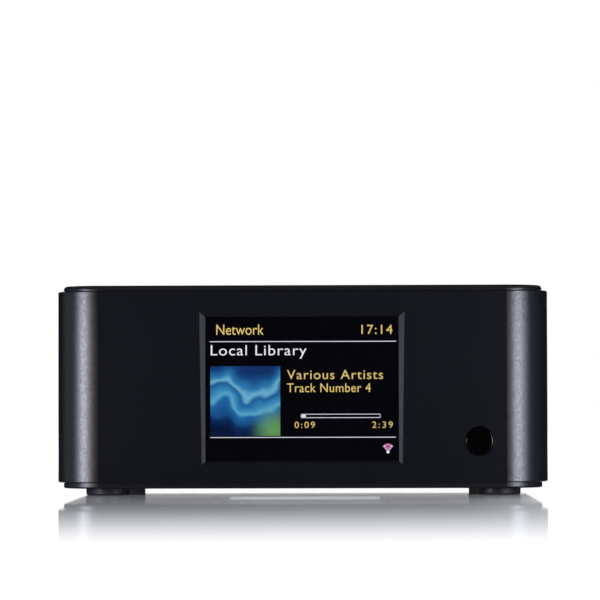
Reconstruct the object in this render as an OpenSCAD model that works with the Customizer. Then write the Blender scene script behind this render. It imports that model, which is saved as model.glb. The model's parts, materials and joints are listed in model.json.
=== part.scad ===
// Network music streamer: a black aluminium sleeve closed by two inset covers,
// with a colour screen in front and a row of sockets at the back.
// Millimetres, +Z up, front towards -Y, origin on the table under the middle of the whole box.

/* [Sleeve] */
// Outer width of the sleeve
sleeve_w = 150; // [147:1:190]
// Outer depth of the sleeve
sleeve_d = 116; // [114:1:150]
// Height of the sleeve
sleeve_h = 58.2; // [58:0.2:75]
// Outer radius of the upright corners
sleeve_r = 13; // [12:0.5:16]
// Wall of the sleeve
sleeve_wall = 2.5; // [2.4:0.1:3.5]
// Chamfer along both rims of the sleeve
sleeve_edge = 0.3; // [0.1:0.05:0.5]

/* [Covers] */
// How far both covers are set in from the sleeve
cover_inset = 1.7; // [1:0.1:1.9]
// Thickness of the top cover above the sleeve
cover_t = 1.7; // [1.6:0.1:4]
// Radius of the top cover's outer edge
cover_edge = 1.1; // [0.3:0.1:1.2]
// Thickness of the base plate below the sleeve
base_t = 1.8; // [1.8:0.1:4]
// Radius of the base plate's lower edge
base_edge = 0.5; // [0.2:0.1:1.2]
// Height of the dark seam between a cover and the sleeve
seam_h = 0.3; // [0.1:0.05:0.4]
// Depth of that seam
seam_in = 0.5; // [0.2:0.05:0.5]
// How far the locating lips reach into the sleeve
lip_h = 2.4; // [1:0.1:2.6]
// Wall of the locating lips
lip_wall = 1.6; // [1:0.1:2.4]
// Clearance between a lip and the sleeve
lip_gap = 0.2; // [0.1:0.05:0.4]
// Diameter of the pillars under the top cover
pillar_d = 7; // [6:0.5:8]
// Clearance between a pillar and the sleeve's corner
pillar_gap = 0.9; // [0.5:0.1:1.5]
// Height of the screw bosses on the base plate
boss_h = 6; // [4:0.5:10]
// Distance of the stiffening ribs from the middle of the top cover
rib_x = 25; // [23:1:34]
// Height of the stiffening ribs
rib_h = 2.2; // [1:0.1:2.6]
// Thickness of the stiffening ribs
rib_t = 1.2; // [0.8:0.1:2]

/* [Feet and label] */
// Diameter of a foot
foot_d = 13.4; // [10:0.2:15]
// Height of a foot below the base plate
foot_h = 2.4; // [1.5:0.1:8]
// Depth of the foot's seat in the base plate
foot_seat = 0.4; // [0.2:0.1:0.8]
// Clearance around a foot in its seat
foot_gap = 0.15; // [0.1:0.05:0.3]
// Radius of the foot's lower edge
foot_edge = 0.6; // [0.3:0.1:1]
// Distance of a foot's middle from the sleeve's side
foot_in_x = 14.7; // [13:0.1:22]
// Distance of a foot's middle from the sleeve's front and back
foot_in_y = 20; // [19:0.5:30]
// Width of the plain label under the base
label_w = 48; // [30:1:70]
// Depth of the plain label
label_d = 26; // [15:1:40]
// Thickness of the plain label
label_t = 0.15; // [0.1:0.05:0.3]
// Corner radius of the plain label
label_r = 1.5; // [0.5:0.1:3]

/* [Screen] */
// Distance of the screen opening from the sleeve's upper rim
screen_over = 7.9; // [6.2:0.1:12]
// Distance of the screen opening from the sleeve's lower rim
screen_under = 6.4; // [6.2:0.1:12]
// Width of the screen opening as a multiple of its height
screen_ratio = 1.337; // [1.2:0.001:1.36]
// Angle between the side chamfers and the front
chamfer_angle = 40; // [30:1:45]
// Width of the chamfer along the top
chamfer_top = 1.45; // [0.5:0.05:2]
// Width of the chamfer along the bottom
chamfer_low = 0.85; // [0.5:0.05:2]
// Width of the side chamfers at their upper end
chamfer_side_top = 1.75; // [0.5:0.05:2.2]
// Width of the side chamfers at their lower end
chamfer_side_low = 1.05; // [0.5:0.05:2.2]
// Overlap of the window and the wall around the opening
window_lap = 2.4; // [1.5:0.1:2.6]
// Thickness of the clear window
window_t = 1; // [0.6:0.1:2]
// Corner radius of the clear window
window_r = 1; // [0.5:0.1:3]
// Border of the display module left and right of the opening
lcd_side = 5.25; // [3.5:0.05:6]
// Border of the display module above and below the opening
lcd_over = 3.05; // [2.6:0.05:3.2]
// Depth of the display module
lcd_t = 3; // [2.4:0.1:4]
// Sheet thickness of the display's metal frame
lcd_sheet = 0.3; // [0.2:0.05:0.5]
// Margin of the metal frame's opening beyond the screen opening
lcd_margin = 0.6; // [0.3:0.1:1]
// Clearance between the display glass and its frame
lcd_gap = 0.1; // [0.05:0.05:0.2]
// Thickness of the foam pad behind the display
pad_t = 1; // [0.5:0.1:2]
// Rim of the display that the foam pad leaves free
pad_rim = 3; // [1:0.5:8]

/* [Remote receiver] */
// Distance of the remote window's middle from the sleeve's right side
ir_in = 21.3; // [21:0.1:26]
// Height of the remote window above the sleeve's lower rim
ir_up = 12.45; // [11:0.05:20]
// Diameter of the hole for the remote window
ir_d = 8.7; // [6:0.1:9]
// Clearance around the remote window
ir_gap = 0.1; // [0.05:0.05:0.2]
// How far the remote window lies behind the front
ir_recess = 0.5; // [0.1:0.1:1]
// Chamfer around the remote window's hole
ir_edge = 0.35; // [0.1:0.05:0.6]
// Width of the flange behind the wall
ir_flange = 1.4; // [0.8:0.1:2]
// Thickness of that flange
ir_flange_t = 1; // [0.6:0.1:1.5]
// Width of the receiver
sensor_w = 6.4; // [4:0.2:8]
// Height of the receiver
sensor_h = 7; // [5:0.2:8]
// Thickness of the receiver's body
sensor_t = 2.4; // [1.5:0.1:3]
// Radius of the receiver's lens
sensor_lens_r = 2.2; // [1.5:0.1:2.6]
// Gap between the receiver's lens and the remote window
sensor_gap = 0.3; // [0.2:0.1:0.8]

/* [Front board] */
// Clearance between the front board and the pillars
front_gap = 3.8; // [2:0.1:5]
// Distance of the front board's upper edge from the sleeve's upper rim
front_over = 6.2; // [4:0.1:10]
// Distance of the front board's lower edge from the sleeve's lower rim
front_up = 6; // [5.5:0.1:8]
// Distance of the brackets' middles from the ends of the front board
bracket_in = 10; // [9:0.5:14]
// Width of a bracket
bracket_w = 8; // [7:0.5:10]
// Sheet thickness of a bracket
bracket_t = 1.2; // [0.8:0.1:1.6]
// Height of a bracket
bracket_h = 30; // [24:0.5:40]
// Depth of a bracket's foot
bracket_d = 12; // [10:0.5:14]
// Inner bend radius of a bracket
bracket_bend = 1.5; // [0.5:0.1:3]
// Place of a bracket's screws as a share of its height and depth
bracket_share = 0.6; // [0.5:0.05:0.7]
// Diameter of the pads that carry the brackets
post_d = 7; // [6:0.5:8]
// Height of the pads that carry the brackets
post_h = 4; // [3:0.5:5]
// Width of the ribbon cable
ribbon_w = 14; // [8:1:20]
// Thickness of the ribbon cable
ribbon_t = 0.3; // [0.2:0.05:0.4]
// Bend radius of the ribbon cable
ribbon_bend = 3; // [2:0.5:3.5]
// Height of the ribbon's upper socket above the main board
ribbon_rise = 12; // [10:0.5:16]
// Height of the ribbon's lower end above the main board
ribbon_lift = 1.2; // [1:0.1:2]
// Straight length of the ribbon before its first bend
ribbon_lead = 1; // [0.5:0.1:2]
// Depth of a ribbon socket
socket_d = 3; // [2:0.1:3.5]
// Width of a ribbon socket beyond the ribbon, on each side
socket_cheek = 1.5; // [1:0.1:3]

/* [Main board] */
// Clearance between the main board and the pillars
board_side = 4.8; // [4:0.1:6]
// Room between the front wall and the main board
board_room = 24; // [23:0.5:28]
// Thickness of both boards
board_t = 1.6; // [1:0.1:2]
// Gap between the main board and the rear wall
board_gap = 1; // [0.5:0.1:2]
// Distance of the board's screws from its edges
board_in = 5; // [4:0.5:6]
// Height of the standoffs under the board
standoff_h = 5.8; // [5:0.2:8]
// Width of a standoff across its corners
standoff_d = 6; // [5:0.1:7]
// Length of the stud under a standoff
stud_h = 1.1; // [0.8:0.1:1.2]
// Diameter of the stud under a standoff
stud_d = 3; // [2.5:0.1:4]

/* [Screws] */
// Diameter of the long case screws
case_screw_d = 2.9; // [2.5:0.1:3.5]
// How far the case screws reach into the pillars
case_screw_grip = 10; // [6:0.5:16]
// Depth of the pillars' holes beyond the case screws
case_screw_spare = 2; // [1:0.5:4]
// Depth of the recess for a case screw's head
case_sink = 3.2; // [2.6:0.1:4]
// Diameter of the small screws
screw_d = 2.4; // [2:0.1:2.6]
// Reach of the small screws beyond what they hold
screw_grip = 2.2; // [1:0.1:2.8]
// Head diameter as a multiple of the screw's diameter
head_ratio = 1.9; // [1.6:0.05:2]
// Head height as a multiple of the screw's diameter
head_rise = 0.6; // [0.4:0.05:0.7]
// Diameter of the head's flat top as a share of the head's
head_flat = 0.8; // [0.6:0.05:0.9]
// Clearance around a screw in a plain hole
screw_gap = 0.25; // [0.15:0.05:0.4]
// Clearance drawn around a screw in its thread
thread_gap = 0.05; // [0.05:0.01:0.1]

/* [Rear panel] */
// Distance of the rear panel's ends from the sleeve's rounded corners
panel_side = 4.5; // [3:0.1:6]
// Height of the rear panel
panel_h = 38.6; // [38.5:0.1:46]
// Thickness of the rear panel
panel_t = 1.2; // [1:0.1:1.5]
// Corner radius of the rear panel
panel_r = 2; // [1:0.1:4]
// Clearance around the rear panel
panel_gap = 0.15; // [0.1:0.05:0.3]
// Height of the rear panel's lower edge above the sleeve's lower rim
panel_up = 2.6; // [2.5:0.1:4]
// Width of the ledge at the panel's left and right
ledge_x = 6; // [5.5:0.1:7]
// Width of the ledge at the panel's top and bottom
ledge_z = 2; // [1.5:0.1:2.5]
// Distance of the panel's screws from its sides
panel_screw_x = 3; // [2.8:0.1:3.5]
// Distance of the panel's screws from its top and bottom
panel_screw_z = 4.5; // [4:0.1:8]
// Clearance between a socket and its cut-out
port_gap = 0.2; // [0.15:0.05:0.4]
// How far the sockets' faces stand out of the panel
port_show = 0.8; // [0.3:0.1:1.5]
// Distance of the outermost sockets from the ledges
port_end = 2; // [1:0.1:4]

/* [Phono sockets] */
// Height of the lower socket above the board
phono_up = 6.5; // [6:0.1:8]
// Spacing of the two stacked sockets
phono_pitch = 13.5; // [11.5:0.1:14]
// Outer diameter of a phono socket's metal sleeve
jack_d = 8.3; // [8:0.1:8.6]
// How far a phono socket stands out of the panel
jack_reach = 8.5; // [6:0.1:12]
// Wall of a phono socket's metal sleeve
jack_wall = 0.7; // [0.5:0.05:0.9]
// Clearance between the metal sleeve and its coloured insert
jack_gap = 0.1; // [0.05:0.05:0.2]
// Wall of the coloured collar around the metal sleeve
collar_wall = 1; // [0.6:0.1:1.3]
// How far the coloured collar stands out of the panel
collar_show = 1.4; // [0.5:0.1:3]
// Thickness of the coloured insert's back
insert_back = 1; // [0.6:0.1:2]
// How far the insert's core lies behind the metal sleeve's end
core_set = 0.8; // [0.3:0.1:2]
// Inner diameter of the centre contact
contact_d = 3.4; // [3.3:0.05:3.6]
// Wall of the centre contact
contact_wall = 0.4; // [0.3:0.05:0.6]
// Width of a phono socket's housing
jack_house_w = 12; // [11.5:0.1:12.4]
// Depth of a phono socket's housing
jack_house_d = 12; // [8:0.5:14]

/* [Optical socket] */
// Width of the optical socket
optical_w = 9.8; // [9.4:0.1:10.5]
// Height of the optical socket
optical_h = 10.6; // [10.2:0.1:12]
// Depth of the optical socket behind the panel
optical_d = 14.6; // [13.5:0.1:17]
// Inner width of the optical socket
optical_bore_w = 7.6; // [7:0.1:7.8]
// Inner height of the optical socket
optical_bore_h = 7.6; // [7.2:0.1:7.8]
// Depth of the optical socket's cavity
optical_bore_d = 11.6; // [11.2:0.1:12.4]
// How far the shutter's axis lies inside the mouth
shutter_in = 3.4; // [3:0.1:3.8]
// Thickness of the shutter
shutter_t = 0.8; // [0.5:0.05:1]
// Clearance around the shutter
shutter_gap = 0.25; // [0.2:0.05:0.4]
// How far the bead along the shutter's axis stands out of its faces
shutter_bead = 0.1; // [0.05:0.05:0.2]
// Diameter of the shutter's pins
shutter_pin_d = 0.9; // [0.7:0.05:1]
// Radial clearance of the shutter's pins
shutter_pin_gap = 0.06; // [0.05:0.01:0.1]
// Length of the shutter's pins inside the socket's walls
shutter_pin_l = 0.7; // [0.4:0.05:0.8]
// Diameter of the light emitter
emitter_d = 2.2; // [1.5:0.1:3]

/* [USB socket] */
// Width of the metal shell
usb_w = 13.2; // [13:0.1:13.6]
// Height of the metal shell
usb_h = 5.9; // [5.7:0.1:6.4]
// Sheet thickness of the metal shell
usb_sheet = 0.35; // [0.3:0.05:0.4]
// Depth of the metal shell behind the panel
usb_d = 13; // [11:0.5:15]
// Corner radius of the metal shell
usb_r = 0.8; // [0.6:0.1:1.2]
// Thickness of the tongue
usb_tongue_t = 1.9; // [1.6:0.1:2.1]
// Width of the tongue
usb_tongue_w = 11.1; // [10:0.1:11.6]
// Length of the tongue
usb_tongue_l = 8.8; // [7:0.1:9.2]
// How far the tongue lies behind the mouth of the shell
usb_tongue_set = 1; // [0.5:0.1:2]
// How far the tongue lies above the middle of the shell
usb_tongue_up = 0.75; // [0.4:0.05:0.9]

/* [Network socket] */
// Width of the network socket
lan_w = 16; // [15.6:0.1:16.6]
// Height of the network socket
lan_h = 13.6; // [13.2:0.1:14.5]
// Depth of the network socket behind the panel
lan_d = 16; // [15:0.5:18]
// Width of the plug opening
lan_bore_w = 11.9; // [11.7:0.05:12.1]
// Height of the plug opening
lan_bore_h = 6.9; // [6.7:0.1:7.1]
// Depth of the plug opening
lan_bore_d = 13.5; // [12:0.5:14.5]
// Wall above the plug opening
lan_roof = 2; // [1.5:0.1:2.4]
// Width of the upper step of the latch slot
latch_w = 6.4; // [5.5:0.1:7]
// Width of the lower step of the latch slot
latch_low_w = 4; // [3.2:0.1:5]
// Height of each step of the latch slot
latch_h = 1.4; // [1:0.1:1.6]
// Spacing of the contacts
lan_pitch = 1.02; // [1:0.01:1.1]
// Thickness of a contact
lan_contact_t = 0.4; // [0.3:0.05:0.5]
// Drop of the sprung end of a contact
lan_contact_drop = 2; // [1:0.1:2.2]
// How far the contacts lie behind the mouth
lan_contact_set = 2.5; // [1.5:0.1:4]
// Length of a contact's straight end
lan_contact_fold = 3; // [2:0.1:4]

/* [Power inlet and switch] */
// Width of the inlet
dc_w = 9.2; // [8.6:0.1:10]
// Height of the inlet
dc_h = 11; // [10.5:0.1:12]
// Depth of the inlet behind the panel
dc_d = 12.5; // [11:0.5:14]
// Diameter of the inlet's hole
dc_bore = 6.3; // [6:0.1:6.5]
// Depth of the inlet's hole
dc_bore_d = 10; // [8:0.5:11]
// Diameter of the inlet's pin
dc_pin_d = 2.1; // [1.9:0.1:2.6]
// How far the pin lies behind the inlet's face
dc_pin_set = 1.2; // [0.5:0.1:3]
// Height of the switch's middle above the board
switch_up = 23; // [19:0.1:23.5]
// Width of the switch's bezel
bezel_w = 15.2; // [15:0.1:17]
// Height of the switch's bezel
bezel_h = 10.6; // [10:0.1:12]
// Thickness of the switch's bezel
bezel_t = 1.8; // [1.2:0.1:2.4]
// Corner radius of the switch's bezel
bezel_r = 1.2; // [0.6:0.1:2]
// Wall of the switch's body
switch_wall = 0.7; // [0.5:0.05:0.9]
// Depth of the switch's body behind the panel
switch_d = 12; // [10:0.5:15]
// Half the length of the rocker
rocker_l = 5; // [4.5:0.1:5.4]
// Height of the rocker's face
rocker_w = 6.4; // [5.5:0.1:7]
// How far the rocker's axis lies behind the panel's face
rocker_in = 3.2; // [2.8:0.1:3.6]
// Distance from the axis to the middle of the rocker's face
rocker_mid = 4.4; // [3.8:0.1:5]
// Distance from the axis to the rocker's ends
rocker_end = 5.7; // [5:0.1:6.2]
// How much the rocker narrows towards its axis, at each end
rocker_taper = 0.8; // [0.4:0.1:1.2]
// Wall around the rocker's pins
rocker_hub_wall = 1.2; // [0.8:0.1:1.4]
// Half the angle through which the rocker tips
rocker_angle = 8; // [5:0.5:9]
// Clearance around the rocker
rocker_gap = 0.3; // [0.2:0.05:0.4]
// Diameter of the rocker's pins
rocker_pin_d = 2; // [1.5:0.1:2.4]
// Radial clearance of the rocker's pins
rocker_pin_gap = 0.08; // [0.05:0.01:0.12]
// Width of a terminal tab
tab_w = 4.8; // [3:0.1:5.5]
// Thickness of a terminal tab
tab_t = 0.8; // [0.5:0.1:1]
// Length of a terminal tab
tab_l = 6; // [4:0.5:8]

/* [Inner parts] */
// Width of the streaming module
module_w = 44; // [36:1:48]
// Depth of the streaming module
module_d = 36; // [30:1:40]
// Thickness of the streaming module's board
module_t = 1.2; // [0.8:0.1:1.6]
// Height of the header under the streaming module
header_h = 4.5; // [3:0.1:8]
// Depth of one header strip
header_d = 2.5; // [2:0.1:4]
// Height of the module's metal can
shield_h = 3; // [2:0.1:5]
// Rim of the module that the metal can leaves free
shield_rim = 5; // [3:0.5:8]
// Corner radius of the metal can
shield_r = 1; // [0.5:0.1:2]
// Thickness of the chips
chip_t = 1.6; // [1:0.1:2]
// Diameter of a capacitor
cap_d = 8; // [5:0.5:9]
// Height of a capacitor
cap_h = 12; // [8:0.5:20]
// Depth of the groove around a capacitor
cap_groove = 0.4; // [0.2:0.05:0.6]
// Height of a capacitor's foot below its groove
cap_foot = 1; // [0.5:0.1:2]
// Outer diameter of the supply coil
coil_d = 12; // [8:0.5:14]
// Thickness of the supply coil
coil_t = 5; // [3:0.5:7]
// Thickness of the coil's flanges and depth of its waist
coil_flange = 1; // [0.6:0.1:1.4]
// Width of the heat sink
sink_w = 20; // [14:1:24]
// Depth of the heat sink
sink_d = 9; // [6:0.5:11]
// Height of the heat sink
sink_h = 14; // [8:0.5:16]
// Number of the heat sink's fins
sink_fins = 6; // [3:1:8]
// Thickness of the heat sink's back
sink_base = 2; // [1.5:0.1:3]
// Thickness of a fin
sink_fin_t = 1.2; // [0.8:0.1:1.6]
// Width of the antenna strip
antenna_w = 38; // [25:1:40]
// Depth of the antenna strip
antenna_d = 8; // [5:0.5:12]
// Thickness of the antenna strip
antenna_t = 0.8; // [0.4:0.1:1.2]
// Distance of the antenna strip behind the middle of the case
antenna_back = 12; // [6:1:20]
// Diameter of the antenna lead
lead_d = 1.4; // [1:0.1:2]
// Distance of the lead's start from the end of the antenna strip
lead_in = 2; // [1.5:0.1:6]
// Distance of the lead's end behind the middle of the module
lead_back = 4; // [0:0.5:8]
// How far the lead runs upright at both ends
lead_pull = 12; // [8:0.5:14]

/* [Hidden] */
$fn = 64;
eps = 0.5;

// Heights and depths that the pieces share
rim_z = foot_h + base_t;
top_z = rim_z + sleeve_h;
front_y = -(sleeve_d + jack_reach) / 2;
rear_y = front_y + sleeve_d;
mid_y = (front_y + rear_y) / 2;
inner_front = front_y + sleeve_wall;
inner_rear = rear_y - sleeve_wall;
cover_w = sleeve_w - 2 * cover_inset;
cover_d = sleeve_d - 2 * cover_inset;
cover_r = sleeve_r - cover_inset;
lip_in = sleeve_wall + lip_gap;
lip_r = sleeve_r - lip_in;
pillar_out = (sleeve_r - sleeve_wall - pillar_gap - pillar_d / 2) / sqrt(2);
pillar_x = sleeve_w / 2 - sleeve_r + pillar_out;
pillar_y = sleeve_d / 2 - sleeve_r + pillar_out;
boss_z = rim_z + boss_h;

// Screen, remote window and front board
screen_h = sleeve_h - screen_over - screen_under;
screen_w = screen_h * screen_ratio;
screen_z = rim_z + screen_under + screen_h / 2;
lcd_w = screen_w + 2 * lcd_side;
lcd_h = screen_h + 2 * lcd_over;
window_y = inner_front;
lcd_y = window_y + window_t;
pad_y = lcd_y + lcd_t;
board_front_y = pad_y + pad_t;
board_back_y = board_front_y + board_t;
front_w = 2 * (pillar_x - pillar_d / 2 - front_gap);
front_h = sleeve_h - front_over - front_up;
front_z = rim_z + front_up;
ir_x = sleeve_w / 2 - ir_in;
ir_z = rim_z + ir_up;
bracket_x = front_w / 2 - bracket_in;
bracket_screw_z = front_z + bracket_h * bracket_share;
post_y = board_back_y + bracket_d * bracket_share;
post_z = rim_z + post_h;

// Main board and what stands on it
board_z = rim_z + standoff_h;
board_top = board_z + board_t;
board_rear = inner_rear - board_gap;
board_front = inner_front + board_room;
board_mid = (board_front + board_rear) / 2;
board_w = 2 * (pillar_x - pillar_d / 2 - board_side);
board_d = board_rear - board_front;
stand_x = board_w / 2 - board_in;
stand_y = board_d / 2 - board_in;
ribbon_y = board_front + board_in;
ribbon_low = board_top + ribbon_lift;
ribbon_high = board_top + ribbon_rise;
socket_w = ribbon_w + 2 * socket_cheek;
module_z = board_top + header_h;
antenna_y = mid_y + antenna_back;
lead_sides = 8;
lead_rings = 14;

// Places on the main board, from its middle, as shares of its width and depth
module_spot = [-0.233, -0.105];
chip_spots = [[0.138, -0.047], [0.328, -0.186], [0.069, -0.279], [0.293, 0.047]];
chip_sizes = [16, 10, 7, 8];
cap_spots = [[0.259, 0.233], [0.353, 0.233], [0.448, 0.186], [0.448, 0.047]];
coil_spot = [-0.397, 0.233];
sink_spot = [-0.19, 0.233];
module_x = module_spot[0] * board_w;
module_y = board_mid + module_spot[1] * board_d;

// Rear panel and sockets, which stand evenly spaced along it
panel_w = sleeve_w - 2 * (sleeve_r + panel_side);
panel_z = rim_z + panel_up + panel_h / 2;
port_widths = [jack_house_w, jack_house_w, optical_w, usb_w, lan_w, bezel_w];
port_last = len(port_widths) - 1;
port_span = panel_w - 2 * (ledge_x + port_end);
port_space = (port_span - sum_of(port_widths, port_last + 1)) / port_last;
phono_x = port_x(0);
coax_x = port_x(1);
optical_x = port_x(2);
usb_x = port_x(3);
lan_x = port_x(4);
power_x = port_x(5);
port_back = panel_t + port_gap;
collar_r = jack_d / 2 + thread_gap + collar_wall;
core_r = jack_d / 2 - jack_wall - jack_gap;
contact_r = contact_d / 2 + contact_wall;
insert_y = -port_back - insert_back;
phono_low = board_top + phono_up;
phono_high = phono_low + phono_pitch;
optical_floor = (optical_h - optical_bore_h) / 2;
shutter_r = shutter_t / 2 + shutter_bead;
shutter_y = port_show - shutter_in;
shutter_z = optical_floor + optical_bore_h - shutter_gap - shutter_r;
shutter_l = shutter_z - optical_floor - shutter_gap;
lan_ceiling = lan_h - lan_roof;
dc_mid = dc_h - dc_w / 2;
switch_z = board_top + switch_up;
rocker_sweep = rocker_l * cos(rocker_angle) + rocker_end * sin(rocker_angle);
well_w = 2 * (rocker_sweep + rocker_gap);
well_h = rocker_w + 2 * rocker_gap;
switch_w = well_w + 2 * switch_wall;
switch_h = well_h + 2 * switch_wall;
well_d = rocker_in + rocker_mid;
rocker_hub = rocker_pin_d / 2 + rocker_hub_wall;

// Sum of the first n of some widths, and the middle of a socket counted from the panel's right
function sum_of(widths, n) = n == 0 ? 0 : widths[n - 1] + sum_of(widths, n - 1);
function port_x(i) = port_span / 2 - sum_of(port_widths, i) - port_widths[i] / 2 - i * port_space;

// Shared shapes

// A 2D profile, x outwards and y upwards, swept around a rounded rectangle of corner radius r
module rim(w, d, r) {
    for (i = [0:3]) {
        side = (i == 0 || i == 3) ? 1 : -1;
        end = (i < 2) ? 1 : -1;
        run = (i % 2 == 0) ? d - 2 * r : w - 2 * r;
        translate([side * (w / 2 - r), end * (d / 2 - r), 0]) rotate(90 * i) {
            rotate_extrude(angle = 90) children();
            rotate([90, 0, 0]) linear_extrude(run) children();
        }
    }
}

// A flat slab with rounded corners
module slab(w, d, r, h) {
    rim(w, d, r) square([r, h]);
    translate([r - w / 2, r - d / 2, 0]) cube([w - 2 * r, d - 2 * r, h]);
}

// The same slab standing up, with its thickness along +Y
module plate(w, h, r, t) {
    rotate([-90, 0, 0]) slab(w, h, r, t);
}

// A box centred on x and z, from y0 to y1
module block(w, h, y0, y1) {
    translate([-w / 2, y0, -h / 2]) cube([w, y1 - y0, h]);
}

// A round bar along +Y, from y0 to y1
module bar(d, y0, y1) {
    translate([0, y0, 0]) rotate([-90, 0, 0]) cylinder(d = d, h = y1 - y0);
}

// A turned piece whose profile is given as [radius, y]
module turned(profile) {
    rotate([-90, 0, 0]) rotate_extrude() polygon(profile);
}

// Section of a cover at its rim: seam below, rounded edge above
module cover_profile(t, edge) {
    polygon([[0, 0], [cover_r - seam_in, 0], [cover_r - seam_in, seam_h], [cover_r, seam_h],
        [cover_r, t - edge], [cover_r - edge, t - edge], [cover_r - edge, t], [0, t]]);
    translate([cover_r - edge, t - edge]) intersection() {
        circle(edge);
        square(edge);
    }
}

// A cover's plate with its locating lip below it
module cover_plate(t, edge) {
    rim(cover_w, cover_d, cover_r) cover_profile(t, edge);
    translate([cover_r - cover_w / 2, cover_r - cover_d / 2, 0])
        cube([cover_w - 2 * cover_r, cover_d - 2 * cover_r, t]);
    rim(sleeve_w - 2 * lip_in, sleeve_d - 2 * lip_in, lip_r)
        translate([lip_r - lip_wall, -lip_h]) square([lip_wall, lip_h]);
}

// Pan-head screw: head above the seat at z = 0, shank below, crossed slots in the head
module screw(d, shank) {
    head_r = d * head_ratio / 2;
    head_h = d * head_rise;
    slot_w = d / 4;
    difference() {
        rotate_extrude() polygon([[0, -shank], [d / 2, -shank], [d / 2, 0], [head_r, 0],
            [head_r, head_h / 2], [head_r * head_flat, head_h], [0, head_h]]);
        for (turn = [0, 90]) rotate(turn)
            translate([-d / 2, -slot_w / 2, head_h / 2]) cube([d, slot_w, head_h]);
    }
}

// One child at each pillar
module at_pillars() {
    for (sx = [-1, 1], sy = [-1, 1]) translate([sx * pillar_x, mid_y + sy * pillar_y, 0]) children();
}

// One child at each corner of the main board
module at_standoffs() {
    for (sx = [-1, 1], sy = [-1, 1]) translate([sx * stand_x, board_mid + sy * stand_y, 0]) children();
}

// One child at each screw of the rear panel, on the panel's face
module at_panel_screws() {
    for (sx = [-1, 1], sz = [-1, 1])
        translate([sx * (panel_w / 2 - panel_screw_x), rear_y, panel_z + sz * (panel_h / 2 - panel_screw_z)])
            children();
}

// A child at a place on the rear panel's face, with +Y outwards
module at_panel(x, z) {
    translate([x, rear_y, z]) children();
}

// One child at each bracket
module at_brackets() {
    for (sx = [-1, 1]) translate([sx * bracket_x, 0, 0]) children();
}

// A child on the main board, at a place given as shares of its width and depth
module on_board(spot) {
    translate([spot[0] * board_w, board_mid + spot[1] * board_d, board_top]) children();
}

// A child at the foot on that side and end of the base
module at_foot(side, end) {
    translate([side * (sleeve_w / 2 - foot_in_x), mid_y + end * (sleeve_d / 2 - foot_in_y), 0]) children();
}

// Points of a cubic curve and of its direction, and the tube along it
function curve(p, t) = pow(1 - t, 3) * p[0] + 3 * pow(1 - t, 2) * t * p[1]
    + 3 * (1 - t) * pow(t, 2) * p[2] + pow(t, 3) * p[3];
function heading(p, t) = pow(1 - t, 2) * (p[1] - p[0]) + 2 * (1 - t) * t * (p[2] - p[1])
    + pow(t, 2) * (p[3] - p[2]);
function unit(v) = v / norm(v);
function ring(p, t, r, n) = let (
    along = unit(heading(p, t)),
    across = unit(cross([0.2, 1, 0], along)),
    up = cross(along, across))
    [for (k = [0:n - 1]) curve(p, t) + r * (cos(360 * k / n) * across + sin(360 * k / n) * up)];

module tube(p, d, n, rings) {
    points = [for (i = [0:rings]) each ring(p, i / rings, d / 2, n)];
    sides = [for (i = [0:rings - 1], k = [0:n - 1]) let (a = i * n + k, b = i * n + (k + 1) % n)
        each [[a, a + n, b], [b, a + n, b + n]]];
    start = [for (k = [1:n - 2]) [0, k, k + 1]];
    finish = [for (k = [1:n - 2]) [rings * n, rings * n + k + 1, rings * n + k]];
    polyhedron(points, concat(sides, start, finish));
}

// Case

// Cutter for the screen opening: four flat chamfers, the side ones narrower below, and a straight throat
module screen_cutter() {
    hw = screen_w / 2;
    hh = screen_h / 2;
    slope = tan(chamfer_angle);
    lean = (chamfer_side_top - chamfer_side_low) / (screen_h + chamfer_top + chamfer_low);
    depth_top = slope * (chamfer_side_top - lean * chamfer_top);
    depth_low = slope * (chamfer_side_low + lean * chamfer_low);
    rise = eps * chamfer_top / depth_top;
    fall = eps * chamfer_low / depth_low;
    out_top = hw + chamfer_side_top + lean * rise + eps / slope;
    out_low = hw + chamfer_side_low - lean * fall + eps / slope;
    z_top = hh + chamfer_top + rise;
    z_low = -hh - chamfer_low - fall;
    front = [[-out_low, -eps, z_low], [out_low, -eps, z_low], [out_top, -eps, z_top],
        [-out_top, -eps, z_top]];
    back = [[-hw, depth_low, -hh], [hw, depth_low, -hh], [hw, depth_top, hh], [-hw, depth_top, hh]];
    polyhedron(concat(front, back), [[3, 2, 1, 0], [4, 5, 6, 7], [1, 5, 4, 0], [2, 6, 5, 1], [3, 7, 6, 2],
        [0, 4, 7, 3]]);
    block(screen_w, screen_h, 0, sleeve_wall + eps);
}

// Cutter for the remote window's chamfered hole
module ir_cutter() {
    turned([[0, -eps], [ir_d / 2 + ir_edge + eps, -eps], [ir_d / 2, ir_edge], [ir_d / 2, sleeve_wall + eps],
        [0, sleeve_wall + eps]]);
}

module sleeve() {
    color("#1b1c1f") difference() {
        translate([0, mid_y, rim_z]) rim(sleeve_w, sleeve_d, sleeve_r)
            polygon([[sleeve_r - sleeve_wall, 0], [sleeve_r - sleeve_edge, 0], [sleeve_r, sleeve_edge],
                [sleeve_r, sleeve_h - sleeve_edge], [sleeve_r - sleeve_edge, sleeve_h],
                [sleeve_r - sleeve_wall, sleeve_h]]);
        translate([0, front_y, screen_z]) screen_cutter();
        translate([ir_x, front_y, ir_z]) ir_cutter();
        at_panel(0, panel_z) {
            translate([0, -panel_t, 0])
                plate(panel_w + 2 * panel_gap, panel_h + 2 * panel_gap, panel_r + panel_gap, panel_t + eps);
            block(panel_w - 2 * ledge_x, panel_h - 2 * ledge_z, -sleeve_wall - eps, eps);
        }
        at_panel_screws() bar(screw_d + 2 * thread_gap, -sleeve_wall - eps, eps);
    }
}

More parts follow.
